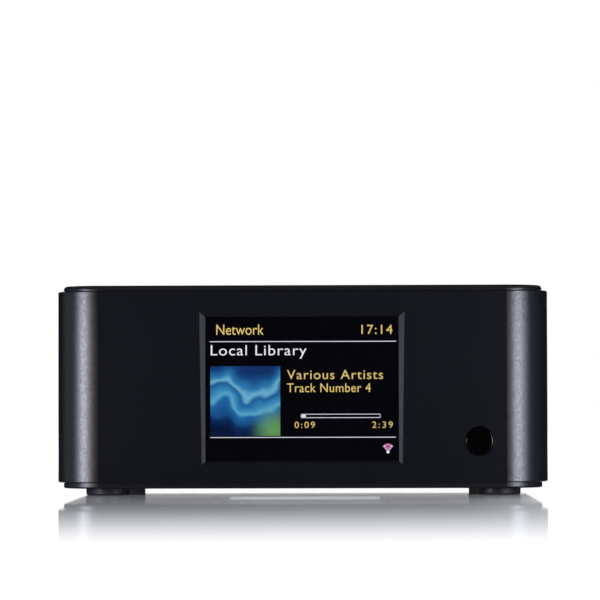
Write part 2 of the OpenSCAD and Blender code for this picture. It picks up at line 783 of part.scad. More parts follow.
module top_cover() {
    lip_span = sleeve_d - 2 * lip_in - lip_wall;
    color("#1d1e21") difference() {
        union() {
            translate([0, mid_y, top_z]) cover_plate(cover_t, cover_edge);
            at_pillars() translate([0, 0, boss_z]) cylinder(d = pillar_d, h = top_z - boss_z);
            for (sx = [-1, 1]) translate([sx * rib_x - rib_t / 2, mid_y - lip_span / 2, top_z - rib_h])
                cube([rib_t, lip_span, rib_h]);
        }
        at_pillars() translate([0, 0, boss_z - eps])
            cylinder(d = case_screw_d + 2 * thread_gap, h = case_screw_grip + case_screw_spare + eps);
    }
}

module base_plate() {
    head_hole = case_screw_d * head_ratio + 2 * screw_gap;
    color("#1d1e21") difference() {
        union() {
            translate([0, mid_y, rim_z]) mirror([0, 0, 1]) cover_plate(base_t, base_edge);
            at_pillars() translate([0, 0, rim_z]) cylinder(d = pillar_d, h = boss_h);
            at_brackets() translate([0, post_y, rim_z]) cylinder(d = post_d, h = post_h);
        }
        at_pillars() {
            translate([0, 0, foot_h - eps]) cylinder(d = head_hole, h = case_sink + eps);
            translate([0, 0, foot_h]) cylinder(d = case_screw_d + 2 * screw_gap, h = base_t + boss_h + eps);
        }
        for (side = [-1, 1], end = [-1, 1]) at_foot(side, end) translate([0, 0, foot_h - eps])
            cylinder(d = foot_d + 2 * foot_gap, h = foot_seat + eps);
        at_standoffs() translate([0, 0, rim_z - stud_h])
            cylinder(d = stud_d + 2 * thread_gap, h = stud_h + eps);
        at_brackets() translate([0, post_y, rim_z])
            cylinder(d = screw_d + 2 * thread_gap, h = post_h + eps);
    }
}

// A foot: round puck with a rounded lower edge, let into the base plate
module foot() {
    tall = foot_h + foot_seat;
    core = foot_d / 2 - foot_edge;
    color("#17181a") rotate_extrude() {
        polygon([[0, 0], [core, 0], [core, foot_edge], [foot_d / 2, foot_edge], [foot_d / 2, tall],
            [0, tall]]);
        translate([core, foot_edge]) intersection() {
            circle(foot_edge);
            translate([0, -foot_edge]) square(foot_edge);
        }
    }
}

module foot_front_left() { at_foot(-1, -1) foot(); }
module foot_front_right() { at_foot(1, -1) foot(); }
module foot_rear_left() { at_foot(-1, 1) foot(); }
module foot_rear_right() { at_foot(1, 1) foot(); }

module base_label() {
    color("#c9cacc") translate([0, mid_y, foot_h - label_t]) slab(label_w, label_d, label_r, label_t);
}

module base_screws() {
    seat = foot_h + case_sink;
    color("#55565a") at_pillars() translate([0, 0, seat]) mirror([0, 0, 1])
        screw(case_screw_d, boss_z - seat + case_screw_grip);
}

// Screen and remote receiver

module display_window() {
    color("#101216") translate([0, window_y, screen_z])
        plate(screen_w + 2 * window_lap, screen_h + 2 * window_lap, window_r, window_t);
}

module lcd_frame() {
    color("#8d8f92") translate([0, lcd_y, screen_z]) difference() {
        block(lcd_w, lcd_h, 0, lcd_t);
        block(lcd_w - 2 * lcd_sheet, lcd_h - 2 * lcd_sheet, lcd_sheet, lcd_t + eps);
        block(screen_w + 2 * lcd_margin, screen_h + 2 * lcd_margin, -eps, lcd_t);
    }
}

module lcd_panel() {
    rim_free = 2 * (lcd_sheet + lcd_gap);
    color("#0b0d14") translate([0, lcd_y, screen_z])
        block(lcd_w - rim_free, lcd_h - rim_free, lcd_sheet, lcd_t);
}

module lcd_pad() {
    color("#2a2a2c") translate([0, pad_y, screen_z])
        block(lcd_w - 2 * pad_rim, front_h - 2 * pad_rim, 0, pad_t);
}

module front_board() {
    color("#1e5b3a") difference() {
        translate([-front_w / 2, board_front_y, front_z]) cube([front_w, board_t, front_h]);
        at_brackets() translate([0, board_front_y, bracket_screw_z])
            bar(screw_d + 2 * screw_gap, -eps, board_t + eps);
    }
}

// A bracket bent from sheet: foot on its pad, upright behind the front board
module front_brackets() {
    bend = bracket_bend + bracket_t;
    color("#a9abae") at_brackets() difference() {
        translate([0, board_back_y, post_z]) union() {
            translate([-bracket_w / 2, 0, bend]) cube([bracket_w, bracket_t, bracket_h - bend]);
            translate([-bracket_w / 2, bend, 0]) cube([bracket_w, bracket_d - bend, bracket_t]);
            translate([-bracket_w / 2, bend, bend]) rotate([0, 90, 0]) rotate([0, 0, -90])
                rotate_extrude(angle = 90) translate([bracket_bend, 0]) square([bracket_t, bracket_w]);
        }
        translate([0, board_back_y, bracket_screw_z]) bar(screw_d + 2 * thread_gap, -eps, bracket_t + eps);
        translate([0, post_y, post_z - eps]) cylinder(d = screw_d + 2 * screw_gap, h = bracket_t + 2 * eps);
    }
}

module bracket_screws() {
    color("#b9babd") at_brackets() {
        translate([0, board_front_y, bracket_screw_z]) rotate([90, 0, 0]) screw(screw_d, board_t + bracket_t);
        translate([0, post_y, post_z + bracket_t]) screw(screw_d, bracket_t + screw_grip);
    }
}

// Flat cable from the front board's back, down and along to the main board
module display_ribbon() {
    start = board_back_y + socket_d;
    drop_y = start + ribbon_lead + ribbon_bend;
    half = ribbon_t / 2;
    color("#d8d8d4") translate([-ribbon_w / 2, 0, 0]) {
        translate([0, start, ribbon_high - half]) cube([ribbon_w, ribbon_lead, ribbon_t]);
        translate([0, drop_y - ribbon_bend, ribbon_high - ribbon_bend]) rotate([90, 0, 90])
            ribbon_corner(0);
        translate([0, drop_y - half, ribbon_low + ribbon_bend])
            cube([ribbon_w, ribbon_t, ribbon_high - ribbon_low - 2 * ribbon_bend]);
        translate([0, drop_y + ribbon_bend, ribbon_low + ribbon_bend]) rotate([90, 0, 90])
            ribbon_corner(180);
        translate([0, drop_y + ribbon_bend, ribbon_low - half])
            cube([ribbon_w, ribbon_y - socket_d / 2 - drop_y - ribbon_bend, ribbon_t]);
    }
}

// A quarter bend of the ribbon, turned to its place
module ribbon_corner(turn) {
    rotate(turn) rotate_extrude(angle = 90) translate([ribbon_bend - ribbon_t / 2, 0])
        square([ribbon_t, ribbon_w]);
}

module ribbon_sockets() {
    color("#e7e3d8") {
        translate([0, board_back_y, ribbon_high]) block(socket_w, socket_d, 0, socket_d);
        translate([0, ribbon_y, ribbon_low])
            block(socket_w, 2 * ribbon_lift, -socket_d / 2, socket_d / 2);
    }
}

module ir_window() {
    color("#1a0808") translate([ir_x, front_y, ir_z]) turned([[0, ir_recess], [ir_d / 2 - ir_gap, ir_recess],
        [ir_d / 2 - ir_gap, sleeve_wall], [ir_d / 2 + ir_flange, sleeve_wall],
        [ir_d / 2 + ir_flange, sleeve_wall + ir_flange_t], [0, sleeve_wall + ir_flange_t]]);
}

module ir_receiver() {
    lens_y = inner_front + ir_flange_t + sensor_gap + sensor_lens_r;
    color("#121214") translate([ir_x, 0, ir_z]) {
        block(sensor_w, sensor_h, board_front_y - sensor_t, board_front_y);
        intersection() {
            translate([0, lens_y, 0]) sphere(r = sensor_lens_r);
            block(sensor_w, sensor_h, inner_front, board_front_y - sensor_t / 2);
        }
    }
}

// Main board

module main_board() {
    color("#1c5a38") difference() {
        translate([-board_w / 2, board_front, board_z]) cube([board_w, board_d, board_t]);
        at_standoffs() translate([0, 0, board_z - eps])
            cylinder(d = screw_d + 2 * screw_gap, h = board_t + 2 * eps);
    }
}

module board_standoffs() {
    color("#c2a14d") at_standoffs() difference() {
        union() {
            translate([0, 0, rim_z]) cylinder(d = standoff_d, h = standoff_h, $fn = 6);
            translate([0, 0, rim_z - stud_h]) cylinder(d = stud_d, h = stud_h);
        }
        translate([0, 0, board_z - screw_grip - eps])
            cylinder(d = screw_d + 2 * thread_gap, h = screw_grip + 2 * eps);
    }
}

module board_screws() {
    color("#b9babd") at_standoffs() translate([0, 0, board_top]) screw(screw_d, board_t + screw_grip);
}

module streaming_module() {
    color("#174a6b") translate([module_x - module_w / 2, module_y - module_d / 2, module_z])
        cube([module_w, module_d, module_t]);
}

module module_header() {
    reach = (module_d - header_d) / 2;
    color("#151516") on_board(module_spot) for (sy = [-1, 1])
        translate([-module_w / 2, sy * reach - header_d / 2, 0]) cube([module_w, header_d, header_h]);
}

module module_shield() {
    color("#c4c6c9") translate([module_x, module_y, module_z + module_t])
        slab(module_w - 2 * shield_rim, module_d - 2 * shield_rim, shield_r, shield_h);
}

module board_chips() {
    color("#17181a") for (i = [0:len(chip_sizes) - 1]) on_board(chip_spots[i])
        translate([-chip_sizes[i] / 2, -chip_sizes[i] / 2, 0]) cube([chip_sizes[i], chip_sizes[i], chip_t]);
}

// Upright capacitors with a groove near the foot
module capacitors() {
    r = cap_d / 2;
    waist = r - cap_groove;
    color("#20242e") for (spot = cap_spots) on_board(spot) rotate_extrude()
        polygon([[0, 0], [r, 0], [r, cap_foot], [waist, cap_foot + cap_groove],
            [r, cap_foot + 2 * cap_groove], [r, cap_h - cap_groove], [waist, cap_h], [0, cap_h]]);
}

// A wound drum: two flanges on a narrower waist
module power_coil() {
    r = coil_d / 2;
    waist = r - coil_flange;
    color("#3a3a3d") on_board(coil_spot) rotate_extrude()
        polygon([[0, 0], [r, 0], [r, coil_flange], [waist, coil_flange], [waist, coil_t - coil_flange],
            [r, coil_t - coil_flange], [r, coil_t], [0, coil_t]]);
}

// A finned heat sink standing on the board
module heat_sink() {
    pitch = (sink_w - sink_fin_t) / (sink_fins - 1);
    color("#2b2c2f") on_board(sink_spot) translate([-sink_w / 2, -sink_d / 2, 0]) {
        cube([sink_w, sink_base, sink_h]);
        for (i = [0:sink_fins - 1]) translate([i * pitch, 0, 0]) cube([sink_fin_t, sink_d, sink_h]);
    }
}

module antenna() {
    color("#c98f3c") translate([-antenna_w / 2, antenna_y - antenna_d / 2, top_z - antenna_t])
        cube([antenna_w, antenna_d, antenna_t]);
}

// Thin lead from the antenna down to the streaming module's board
module antenna_lead() {
    from = [lead_in - antenna_w / 2, antenna_y, top_z - antenna_t];
    to = [module_x + (module_w - shield_rim) / 2, module_y + lead_back, module_z + module_t];
    color("#2f3033") tube([from, from - [0, 0, lead_pull], to + [0, 0, lead_pull], to], lead_d, lead_sides,
        lead_rings);
}

// Back

module rear_panel() {
    color("#202124") difference() {
        at_panel(0, panel_z) translate([0, -panel_t, 0]) plate(panel_w, panel_h, panel_r, panel_t);
        at_panel_screws() bar(screw_d + 2 * screw_gap, -panel_t - eps, eps);
        for (spot = [[phono_x, phono_low], [phono_x, phono_high], [coax_x, phono_low]])
            at_panel(spot[0], spot[1]) bar(2 * (collar_r + port_gap), -panel_t - eps, eps);
        port_cut(optical_x, optical_w, optical_h);
        port_cut(usb_x, usb_w, usb_h);
        port_cut(lan_x, lan_w, lan_h);
        port_cut(power_x, dc_w, dc_h);
        at_panel(power_x, switch_z)
            block(switch_w + 2 * port_gap, switch_h + 2 * port_gap, -panel_t - eps, eps);
    }
}

// Cut-out for a socket that stands on the main board
module port_cut(x, w, h) {
    at_panel(x, board_top + h / 2) block(w + 2 * port_gap, h + 2 * port_gap, -panel_t - eps, eps);
}

module panel_screws() {
    color("#2b2c2f") at_panel_screws() rotate([-90, 0, 0]) screw(screw_d, sleeve_wall);
}

// Housing of phono sockets, standing on the board
module jack_housing(x, h) {
    translate([x - jack_house_w / 2, rear_y + insert_y - jack_house_d, board_top])
        cube([jack_house_w, jack_house_d, h]);
}

// Metal sleeve of a phono socket
module jack_sleeve() {
    inner = jack_d / 2 - jack_wall;
    edge = jack_wall / 2;
    turned([[inner, -port_back], [jack_d / 2, -port_back], [jack_d / 2, jack_reach - edge],
        [jack_d / 2 - edge, jack_reach], [inner, jack_reach]]);
}

// Coloured insert of a phono socket: collar, back and hollow core in one
module jack_insert() {
    groove = jack_d / 2 + thread_gap;
    hole = contact_r + thread_gap;
    turned([[hole, insert_y], [collar_r, insert_y], [collar_r, collar_show], [groove, collar_show],
        [groove, -port_back], [core_r, -port_back], [core_r, jack_reach - core_set],
        [hole, jack_reach - core_set]]);
}

// Centre contact of a phono socket
module jack_contact() {
    tip = jack_reach - core_set - contact_wall;
    turned([[contact_d / 2, insert_y], [contact_r, insert_y], [contact_r, tip], [contact_d / 2, tip]]);
}

module phono_housing() {
    color("#161618") jack_housing(phono_x, phono_up * 2 + phono_pitch);
}

module phono_sleeves() {
    color("#c8c9cc") for (z = [phono_low, phono_high]) at_panel(phono_x, z) jack_sleeve();
}

module phono_insert_left() {
    color("#e9e8e4") at_panel(phono_x, phono_high) jack_insert();
}

module phono_insert_right() {
    color("#b3221f") at_panel(phono_x, phono_low) jack_insert();
}

module phono_contacts() {
    color("#c8c9cc") for (z = [phono_low, phono_high]) at_panel(phono_x, z) jack_contact();
}

module coax_housing() {
    color("#161618") jack_housing(coax_x, phono_up * 2);
}

module coax_sleeve() {
    color("#c8c9cc") at_panel(coax_x, phono_low) jack_sleeve();
}

module coax_insert() {
    color("#d9731d") at_panel(coax_x, phono_low) jack_insert();
}

module coax_contact() {
    color("#c8c9cc") at_panel(coax_x, phono_low) jack_contact();
}

// Optical socket: square cavity, pin holes for the shutter, round seat for the emitter
module optical_socket() {
    wall = (optical_w - optical_bore_w) / 2;
    hole_l = optical_bore_w + 2 * shutter_pin_l + 2 * shutter_pin_gap;
    color("#141416") at_panel(optical_x, board_top) difference() {
        translate([0, 0, optical_h / 2]) block(optical_w, optical_h, -optical_d, port_show);
        translate([0, 0, optical_floor + optical_bore_h / 2])
            block(optical_bore_w, optical_bore_h, port_show - optical_bore_d, port_show + eps);
        translate([-hole_l / 2, shutter_y, shutter_z]) rotate([0, 90, 0])
            cylinder(d = shutter_pin_d + 2 * shutter_pin_gap, h = hole_l);
        translate([0, 0, optical_floor + optical_bore_h / 2])
            bar(emitter_d + 2 * thread_gap, -optical_d + wall, port_show - optical_bore_d + eps);
    }
}

// Sprung door of the optical socket, hanging from its pins
module optical_shutter() {
    w = optical_bore_w - 2 * shutter_gap;
    pins = optical_bore_w + 2 * shutter_pin_l;
    color("#1a1a1d") at_panel(optical_x, board_top) translate([0, shutter_y, shutter_z]) {
        translate([-w / 2, -shutter_t / 2, -shutter_l]) cube([w, shutter_t, shutter_l]);
        translate([-w / 2, 0, 0]) rotate([0, 90, 0]) cylinder(r = shutter_r, h = w);
        translate([-pins / 2, 0, 0]) rotate([0, 90, 0]) cylinder(d = shutter_pin_d, h = pins);
    }
}

module optical_emitter() {
    wall = (optical_w - optical_bore_w) / 2;
    color("#8c1414") at_panel(optical_x, board_top + optical_floor + optical_bore_h / 2)
        bar(emitter_d, -optical_d + wall, port_show - optical_bore_d);
}

module usb_shell() {
    inner_r = usb_r - usb_sheet;
    color("#c3c5c8") at_panel(usb_x, board_top + usb_h / 2) difference() {
        translate([0, -usb_d, 0]) plate(usb_w, usb_h, usb_r, usb_d + port_show);
        translate([0, -usb_d - eps, 0])
            plate(usb_w - 2 * usb_sheet, usb_h - 2 * usb_sheet, inner_r, usb_d + port_show + 2 * eps);
    }
}

// Moulded block at the back of the shell with the tongue that carries the contacts
module usb_tongue() {
    back = port_show - usb_tongue_set - usb_tongue_l;
    color("#e6e6e2") at_panel(usb_x, board_top + usb_h / 2) {
        block(usb_w - 2 * usb_r, usb_h - 2 * usb_sheet, -usb_d, back);
        translate([0, 0, usb_tongue_up]) block(usb_tongue_w, usb_tongue_t, back, back + usb_tongue_l);
    }
}

// Network socket: plug opening with the stepped slot for the latch below it
module ethernet_socket() {
    bore_z = lan_ceiling - lan_bore_h;
    color("#17171a") at_panel(lan_x, board_top) difference() {
        translate([0, 0, lan_h / 2]) block(lan_w, lan_h, -lan_d, port_show);
        translate([0, 0, lan_ceiling - lan_bore_h / 2])
            block(lan_bore_w, lan_bore_h, port_show - lan_bore_d, port_show + eps);
        translate([0, 0, bore_z - latch_h / 2])
            block(latch_w, latch_h, port_show - lan_bore_d, port_show + eps);
        translate([0, 0, bore_z - latch_h * 3 / 2])
            block(latch_low_w, latch_h, port_show - lan_bore_d, port_show + eps);
    }
}

// Eight sprung contacts, each a strip along the ceiling folded back at the mouth
module ethernet_contacts() {
    back = port_show - lan_bore_d;
    mouth = port_show - lan_contact_set;
    strip = lan_contact_t;
    fold = lan_contact_fold;
    color("#d2ab4a") at_panel(lan_x, board_top + lan_ceiling) for (i = [-3.5:1:3.5])
        translate([i * lan_pitch - strip / 2, 0, 0]) rotate([90, 0, 90]) linear_extrude(strip)
            polygon([[back, 0], [mouth, 0], [mouth, -strip], [back + fold, -lan_contact_drop],
                [back + fold, strip - lan_contact_drop], [mouth - fold, -strip], [back, -strip]]);
}

module dc_socket() {
    color("#151517") at_panel(power_x, board_top) difference() {
        translate([0, 0, dc_h / 2]) block(dc_w, dc_h, -dc_d, port_show);
        translate([0, 0, dc_mid]) bar(dc_bore, port_show - dc_bore_d, port_show + eps);
    }
}

module dc_pin() {
    r = dc_pin_d / 2;
    tip = port_show - dc_pin_set;
    color("#c8c9cc") at_panel(power_x, board_top + dc_mid) turned([[0, port_show - dc_bore_d],
        [r, port_show - dc_bore_d], [r, tip - r / 2], [r / 2, tip], [0, tip]]);
}

// Rocker switch: bezel outside the panel, body inside it, open well for the rocker
module switch_housing() {
    color("#141416") at_panel(power_x, switch_z) difference() {
        union() {
            plate(bezel_w, bezel_h, bezel_r, bezel_t);
            block(switch_w, switch_h, -switch_d, 0);
        }
        block(well_w, well_h, -well_d, bezel_t + eps);
        translate([0, -rocker_in, -switch_h / 2 - eps])
            cylinder(d = rocker_pin_d + 2 * rocker_pin_gap, h = switch_h + 2 * eps);
    }
}

// Rocker drawn with one end pressed in, on pins that turn in the housing's walls
module power_rocker() {
    pins = switch_h - switch_wall / 2;
    color("#1c1c1f") at_panel(power_x, switch_z) translate([0, -rocker_in, 0]) rotate(-rocker_angle) {
        translate([0, 0, -rocker_w / 2]) linear_extrude(rocker_w)
            polygon([[-rocker_l, rocker_end], [0, rocker_mid], [rocker_l, rocker_end],
                [rocker_l - rocker_taper, rocker_end / 3], [rocker_hub / 2, 0], [-rocker_hub / 2, 0],
                [rocker_taper - rocker_l, rocker_end / 3]]);
        translate([0, 0, -rocker_w / 2]) cylinder(r = rocker_hub, h = rocker_w);
        translate([0, 0, -pins / 2]) cylinder(d = rocker_pin_d, h = pins);
    }
}

module switch_tabs() {
    color("#b9babd") for (sx = [-1, 1])
        at_panel(power_x + sx * switch_w / 4, switch_z) block(tab_t, tab_w, -switch_d - tab_l, -switch_d);
}

sleeve();
top_cover();
base_plate();
foot_front_left();
foot_front_right();
foot_rear_left();
foot_rear_right();
base_label();
base_screws();
display_window();
lcd_frame();
lcd_panel();
lcd_pad();
front_board();
front_brackets();
bracket_screws();
display_ribbon();
ribbon_sockets();
ir_window();
ir_receiver();
main_board();
board_standoffs();
board_screws();
streaming_module();
module_header();
module_shield();
board_chips();
capacitors();
power_coil();
heat_sink();
antenna();
antenna_lead();
rear_panel();
panel_screws();
phono_housing();
phono_sleeves();
phono_insert_left();
phono_insert_right();
phono_contacts();
coax_housing();
coax_sleeve();
coax_insert();
coax_contact();
optical_socket();
optical_shutter();
optical_emitter();
usb_shell();
usb_tongue();
ethernet_socket();
ethernet_contacts();
dc_socket();
dc_pin();
switch_housing();
power_rocker();
switch_tabs();
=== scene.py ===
# %% [markdown]
# A network music streamer is a small black box: an aluminium sleeve, a plastic cover and base set into it,
# a colour screen, a round window for the remote control and a row of sockets at the back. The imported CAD
# model already has every solid at its real size, in metres, so this lesson loads it as a frame and adds
# what CAD leaves out: finishes, what the lit screen shows, small gold contacts and printed marks, and a
# studio to look at them in.

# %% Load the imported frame
import json
import math

import bpy
from mathutils import Matrix, Vector


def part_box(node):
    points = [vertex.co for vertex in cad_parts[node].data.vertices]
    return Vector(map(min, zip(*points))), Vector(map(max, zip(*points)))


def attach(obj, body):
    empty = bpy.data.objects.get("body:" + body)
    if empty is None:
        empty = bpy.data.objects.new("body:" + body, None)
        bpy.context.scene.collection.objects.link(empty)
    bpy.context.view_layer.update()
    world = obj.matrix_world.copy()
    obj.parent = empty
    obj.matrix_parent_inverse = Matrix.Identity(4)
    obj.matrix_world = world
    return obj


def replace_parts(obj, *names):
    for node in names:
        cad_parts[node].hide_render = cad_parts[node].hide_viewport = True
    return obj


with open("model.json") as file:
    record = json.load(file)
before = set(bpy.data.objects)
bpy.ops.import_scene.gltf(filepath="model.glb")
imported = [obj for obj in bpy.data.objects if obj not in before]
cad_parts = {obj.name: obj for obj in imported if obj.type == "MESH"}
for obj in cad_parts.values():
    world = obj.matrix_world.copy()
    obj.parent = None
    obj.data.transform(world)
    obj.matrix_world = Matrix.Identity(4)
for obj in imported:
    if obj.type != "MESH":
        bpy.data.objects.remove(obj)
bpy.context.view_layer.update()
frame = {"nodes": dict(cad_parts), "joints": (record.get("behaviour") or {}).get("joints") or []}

MM = 0.001

# %% [markdown]
# The camera comes first, because every later choice is judged through it. A long lens from about a metre
# flattens the box as in a catalogue picture. The camera stands one degree to the right of the middle. Its
# axis points a little up, which puts the box low in the frame, and it is rolled slightly, because the box
# in the picture isn't quite level.

# %% Camera
scene = bpy.context.scene
CAMERA_AT = (16.26, -1062.13, 31)  # mm
CAMERA_TURN = (91.632, 0.15, 0.966)  # degrees
LENS, SENSOR = 198.08, 36  # mm


def start_clean():
    """Leave edit mode and select nothing, so that the next operator acts on its own piece only."""
    if bpy.context.object is not None and bpy.context.object.mode != "OBJECT":
        bpy.ops.object.mode_set(mode="OBJECT")
    bpy.ops.object.select_all(action="DESELECT")


start_clean()
bpy.ops.object.camera_add(location=[v * MM for v in CAMERA_AT],
                          rotation=[math.radians(v) for v in CAMERA_TURN])
camera = bpy.context.object
camera.name = "camera"
camera.data.sensor_width = SENSOR
camera.data.lens = LENS
scene.camera = camera
scene.view_settings.view_transform = "Standard"
print("camera stands", round(-camera.location.y, 3), "m in front of the middle of the feet")

# %% [markdown]
# Looks in Blender are built from nodes, for lamps as well as for materials. A few small helpers keep that
# short. One adds a node and sets its options and sockets by name, and the next two give a socket its value
# or join it to another. The rest stand for the nodes that come back most: sums, smooth steps, mixes and
# noise.

# %% Node helpers


def node(tree, kind, **settings):
    """A new node with its settings; a name of an input sets that socket's own value."""
    made = tree.nodes.new(kind)
    for key, value in settings.items():
        if hasattr(made, key):
            setattr(made, key, value)
        else:
            made.inputs[key].default_value = value
    return made


def join(tree, out, into):
    """A link from one socket to another."""
    tree.links.new(out, into)


def feed(tree, socket, value):
    """Give a socket a plain value, or join another socket to it."""
    if isinstance(value, bpy.types.NodeSocket):
        join(tree, value, socket)
    else:
        socket.default_value = value


def maths(tree, operation, *values, clamp=False):
    """The result of a Math node on numbers or sockets."""
    made = node(tree, "ShaderNodeMath", operation=operation, use_clamp=clamp)
    for socket, value in zip(made.inputs, values):
        feed(tree, socket, value)
    return made.outputs[0]


def ramp(tree, value, near, far, at_near, at_far, curve="SMOOTHSTEP"):
    """A step from one number to another, as a value goes from near to far."""
    made = node(tree, "ShaderNodeMapRange", interpolation_type=curve)
    join(tree, value, made.inputs["Value"])
    for key, number in (("From Min", near), ("From Max", far), ("To Min", at_near), ("To Max", at_far)):
        made.inputs[key].default_value = number
    return made.outputs["Result"]


def blend(tree, share, first, second, colour=False):
    """A mix of two numbers, or of two colours."""
    made = node(tree, "ShaderNodeMix", data_type="RGBA" if colour else "FLOAT")
    for slot, value in zip((0, 6, 7) if colour else (0, 2, 3), (share, first, second)):
        feed(tree, made.inputs[slot], value)
    return made.outputs[2 if colour else 0]


def noise(tree, place, scale, **settings):
    """A noise pattern between 0 and 1."""
    made = node(tree, "ShaderNodeTexNoise", **settings)
    join(tree, place, made.inputs["Vector"])
    feed(tree, made.inputs["Scale"], scale)
    return made.outputs[0]


print("node helpers are ready")

# %% [markdown]
# Two soft boxes stand in front of the box, one on each side. A satin black surface shows little colour of
# its own, so its shape is told by highlights: each rounded corner picks up the soft box that it faces. A
# real soft box is brightest in the middle and dims towards its ends, so the strength follows one over cosh
# across the lamp's width, with a length of fall for the inner half and another for the outer one. The
# lamp's own Parametric coordinate runs from 0 to 1 across it. A flag at the inner end keeps its light off
# the screen. The light is slightly blue, like a flash tube's, and most so on its outer half.

# %% Soft boxes in front
CORNER_Y, CORNER_Z = -0.06, 0.043  # metres, like all places of lamps
FRONT_AWAY, FRONT_WIDE, FRONT_TALL = 0.43, 1.0, 0.086
TINT_REACH = 0.26


def soft_box(name, place, target, wide, tall, radiance, colour=(0.88, 0.89, 1.0)):
    """An area lamp that faces a point, with the brightness that its surface should have."""
    start_clean()
    turn = (Vector(target) - Vector(place)).to_track_quat("-Z", "Y").to_euler()
    bpy.ops.object.light_add(type="AREA", location=place, rotation=turn)
    lamp = bpy.context.object
    lamp.name = name
    lamp.data.shape = "RECTANGLE"
    lamp.data.size = wide
    lamp.data.size_y = tall
    lamp.data.color = colour
    lamp.data.energy = radiance * math.pi * wide * tall
    lamp.visible_camera = False
    print(name, "gives", round(lamp.data.energy, 2), "W")
    return lamp


def hot_middle(lamp, inner, falls, flag, outer_tint, inner_tint):
    """Dim and tint a lamp across its width. inner is the sign of its inner side, which the flag shuts."""
    lamp.data.use_nodes = True
    tree = lamp.data.node_tree
    glow = tree.nodes["Emission"].inputs
    across = node(tree, "ShaderNodeSeparateXYZ")
    join(tree, node(tree, "ShaderNodeNewGeometry").outputs["Parametric"], across.inputs[0])
    inwards = maths(tree, "MULTIPLY", maths(tree, "SUBTRACT", across.outputs[0], 0.5), lamp.data.size * inner)
    fall_in, fall_out = falls
    scaled = maths(tree, "MAXIMUM", maths(tree, "DIVIDE", inwards, fall_in),
                   maths(tree, "DIVIDE", inwards, -fall_out))
    unflagged = ramp(tree, inwards, flag[1], flag[0], 0.0, 1.0)
    join(tree, maths(tree, "DIVIDE", unflagged, maths(tree, "COSH", scaled)), glow["Strength"])
    share = maths(tree, "ADD", maths(tree, "DIVIDE", inwards, TINT_REACH), 0.5)
    join(tree, blend(tree, share, (*outer_tint, 1), (*inner_tint, 1), colour=True), glow["Color"])


# Each lamp's corner of the sleeve, its angle to the camera's axis, radiance, falls, flag and tints
FRONT_BOXES = {
    "left_soft_box": (-0.067, -43.6, 11.0, (0.081, 0.073), (0.19, 0.33),
                      (0.82, 0.91, 1.0), (1.1, 1.05, 1.0)),
    "right_soft_box": (0.066, 33.4, 10.05, (0.083, 0.088), (0.11, 0.235),
                       (0.85, 0.955, 1.0), (1.03, 1.015, 1.0)),
}
for name, (corner_x, angle, radiance, *shading) in FRONT_BOXES.items():
    turn = math.radians(angle)
    place = (corner_x + FRONT_AWAY * math.sin(turn), CORNER_Y - FRONT_AWAY * math.cos(turn), CORNER_Z)
    lamp = soft_box(name, place, (corner_x, CORNER_Y, CORNER_Z), FRONT_WIDE, FRONT_TALL, radiance)
    hot_middle(lamp, -math.copysign(1, corner_x), *shading)

# %% [markdown]
# The sloped sides of the screen opening mirror what stands far out at the sides. A narrow strip lamp on
# each side, a little in front of the case, draws them as thin grey lines, as a photographer's side strip
# does.

# %% Side strips
STRIP_X, STRIP_Z, STRIP_WIDE, STRIP_TALL = 0.1, 0.04, 0.022, 0.12
STRIP_TINT = (0.84, 0.88, 1.0)
SLOPE_X, SLOPE_Y = 0.031, -0.0615
for name, side, angle, radiance in (("left_strip", -1, 79.1, 0.5), ("right_strip", 1, 77.3, 0.75)):
    strip_y = SLOPE_Y - (STRIP_X + SLOPE_X) / math.tan(math.radians(angle))
    soft_box(name, (side * STRIP_X, strip_y, STRIP_Z), (-side * SLOPE_X, SLOPE_Y, STRIP_Z),
             STRIP_WIDE, STRIP_TALL, radiance, STRIP_TINT)

# %% [markdown]
# A large lamp above and behind lights the cover and the sockets when the model is turned round. It is kept
# out of reflections, because its bright patch would draw a line along the cover's rounded edge that the
# front view doesn't have.

# %% Lamp above and behind
REAR_AT, REAR_TARGET, REAR_SIZE, REAR_RADIANCE = (0, 0.9, 0.95), (0, 0, 0.03), 0.7, 8
rear_lamp = soft_box("rear_soft_box", REAR_AT, REAR_TARGET, REAR_SIZE, REAR_SIZE, REAR_RADIANCE)
rear_lamp.visible_glossy = False

# %% [markdown]
# Two soft boxes hang high behind the box for the views from the back. Plated sockets are little more than
# what they mirror, so without something bright to mirror they would look like dark plastic. Their spread is
# kept narrow, like that of a lamp behind a honeycomb grid, so that they reach the back and not the front
# edges.

# %% Soft boxes behind
GRID_X, GRID_Y, GRID_Z, GRID_TARGET = 0.3, 0.42, 0.38, (0, 0.12, 0)
GRID_WIDE, GRID_TALL, GRID_RADIANCE, GRID_SPREAD = 0.16, 0.3, 0.3, math.radians(26)
for name, side in (("rear_left_box", -1), ("rear_right_box", 1)):
    rear_box = soft_box(name, (side * GRID_X, GRID_Y, GRID_Z), GRID_TARGET, GRID_WIDE, GRID_TALL,
                        GRID_RADIANCE)
    rear_box.data.spread = GRID_SPREAD

# %% [markdown]
# A small lamp close above the front makes the upper part of the sleeve a trace lighter than the lower one,
# as a ceiling does. It is kept out of reflections too.

# %% Lamp above the front
TOP_AT, TOP_TARGET, TOP_WIDE, TOP_DEEP, TOP_RADIANCE = (0, -0.16, 0.2), (0, -0.06, 0.045), 0.2, 0.06, 2.4
top_lamp = soft_box("top_soft_box", TOP_AT, TOP_TARGET, TOP_WIDE, TOP_DEEP, TOP_RADIANCE)
top_lamp.visible_glossy = False

# %% [markdown]
# A small flat lamp lies on the floor under the base and shines up, as a white floor would. It shows the
# pale label under the base, which the gloss of the floor mirrors.

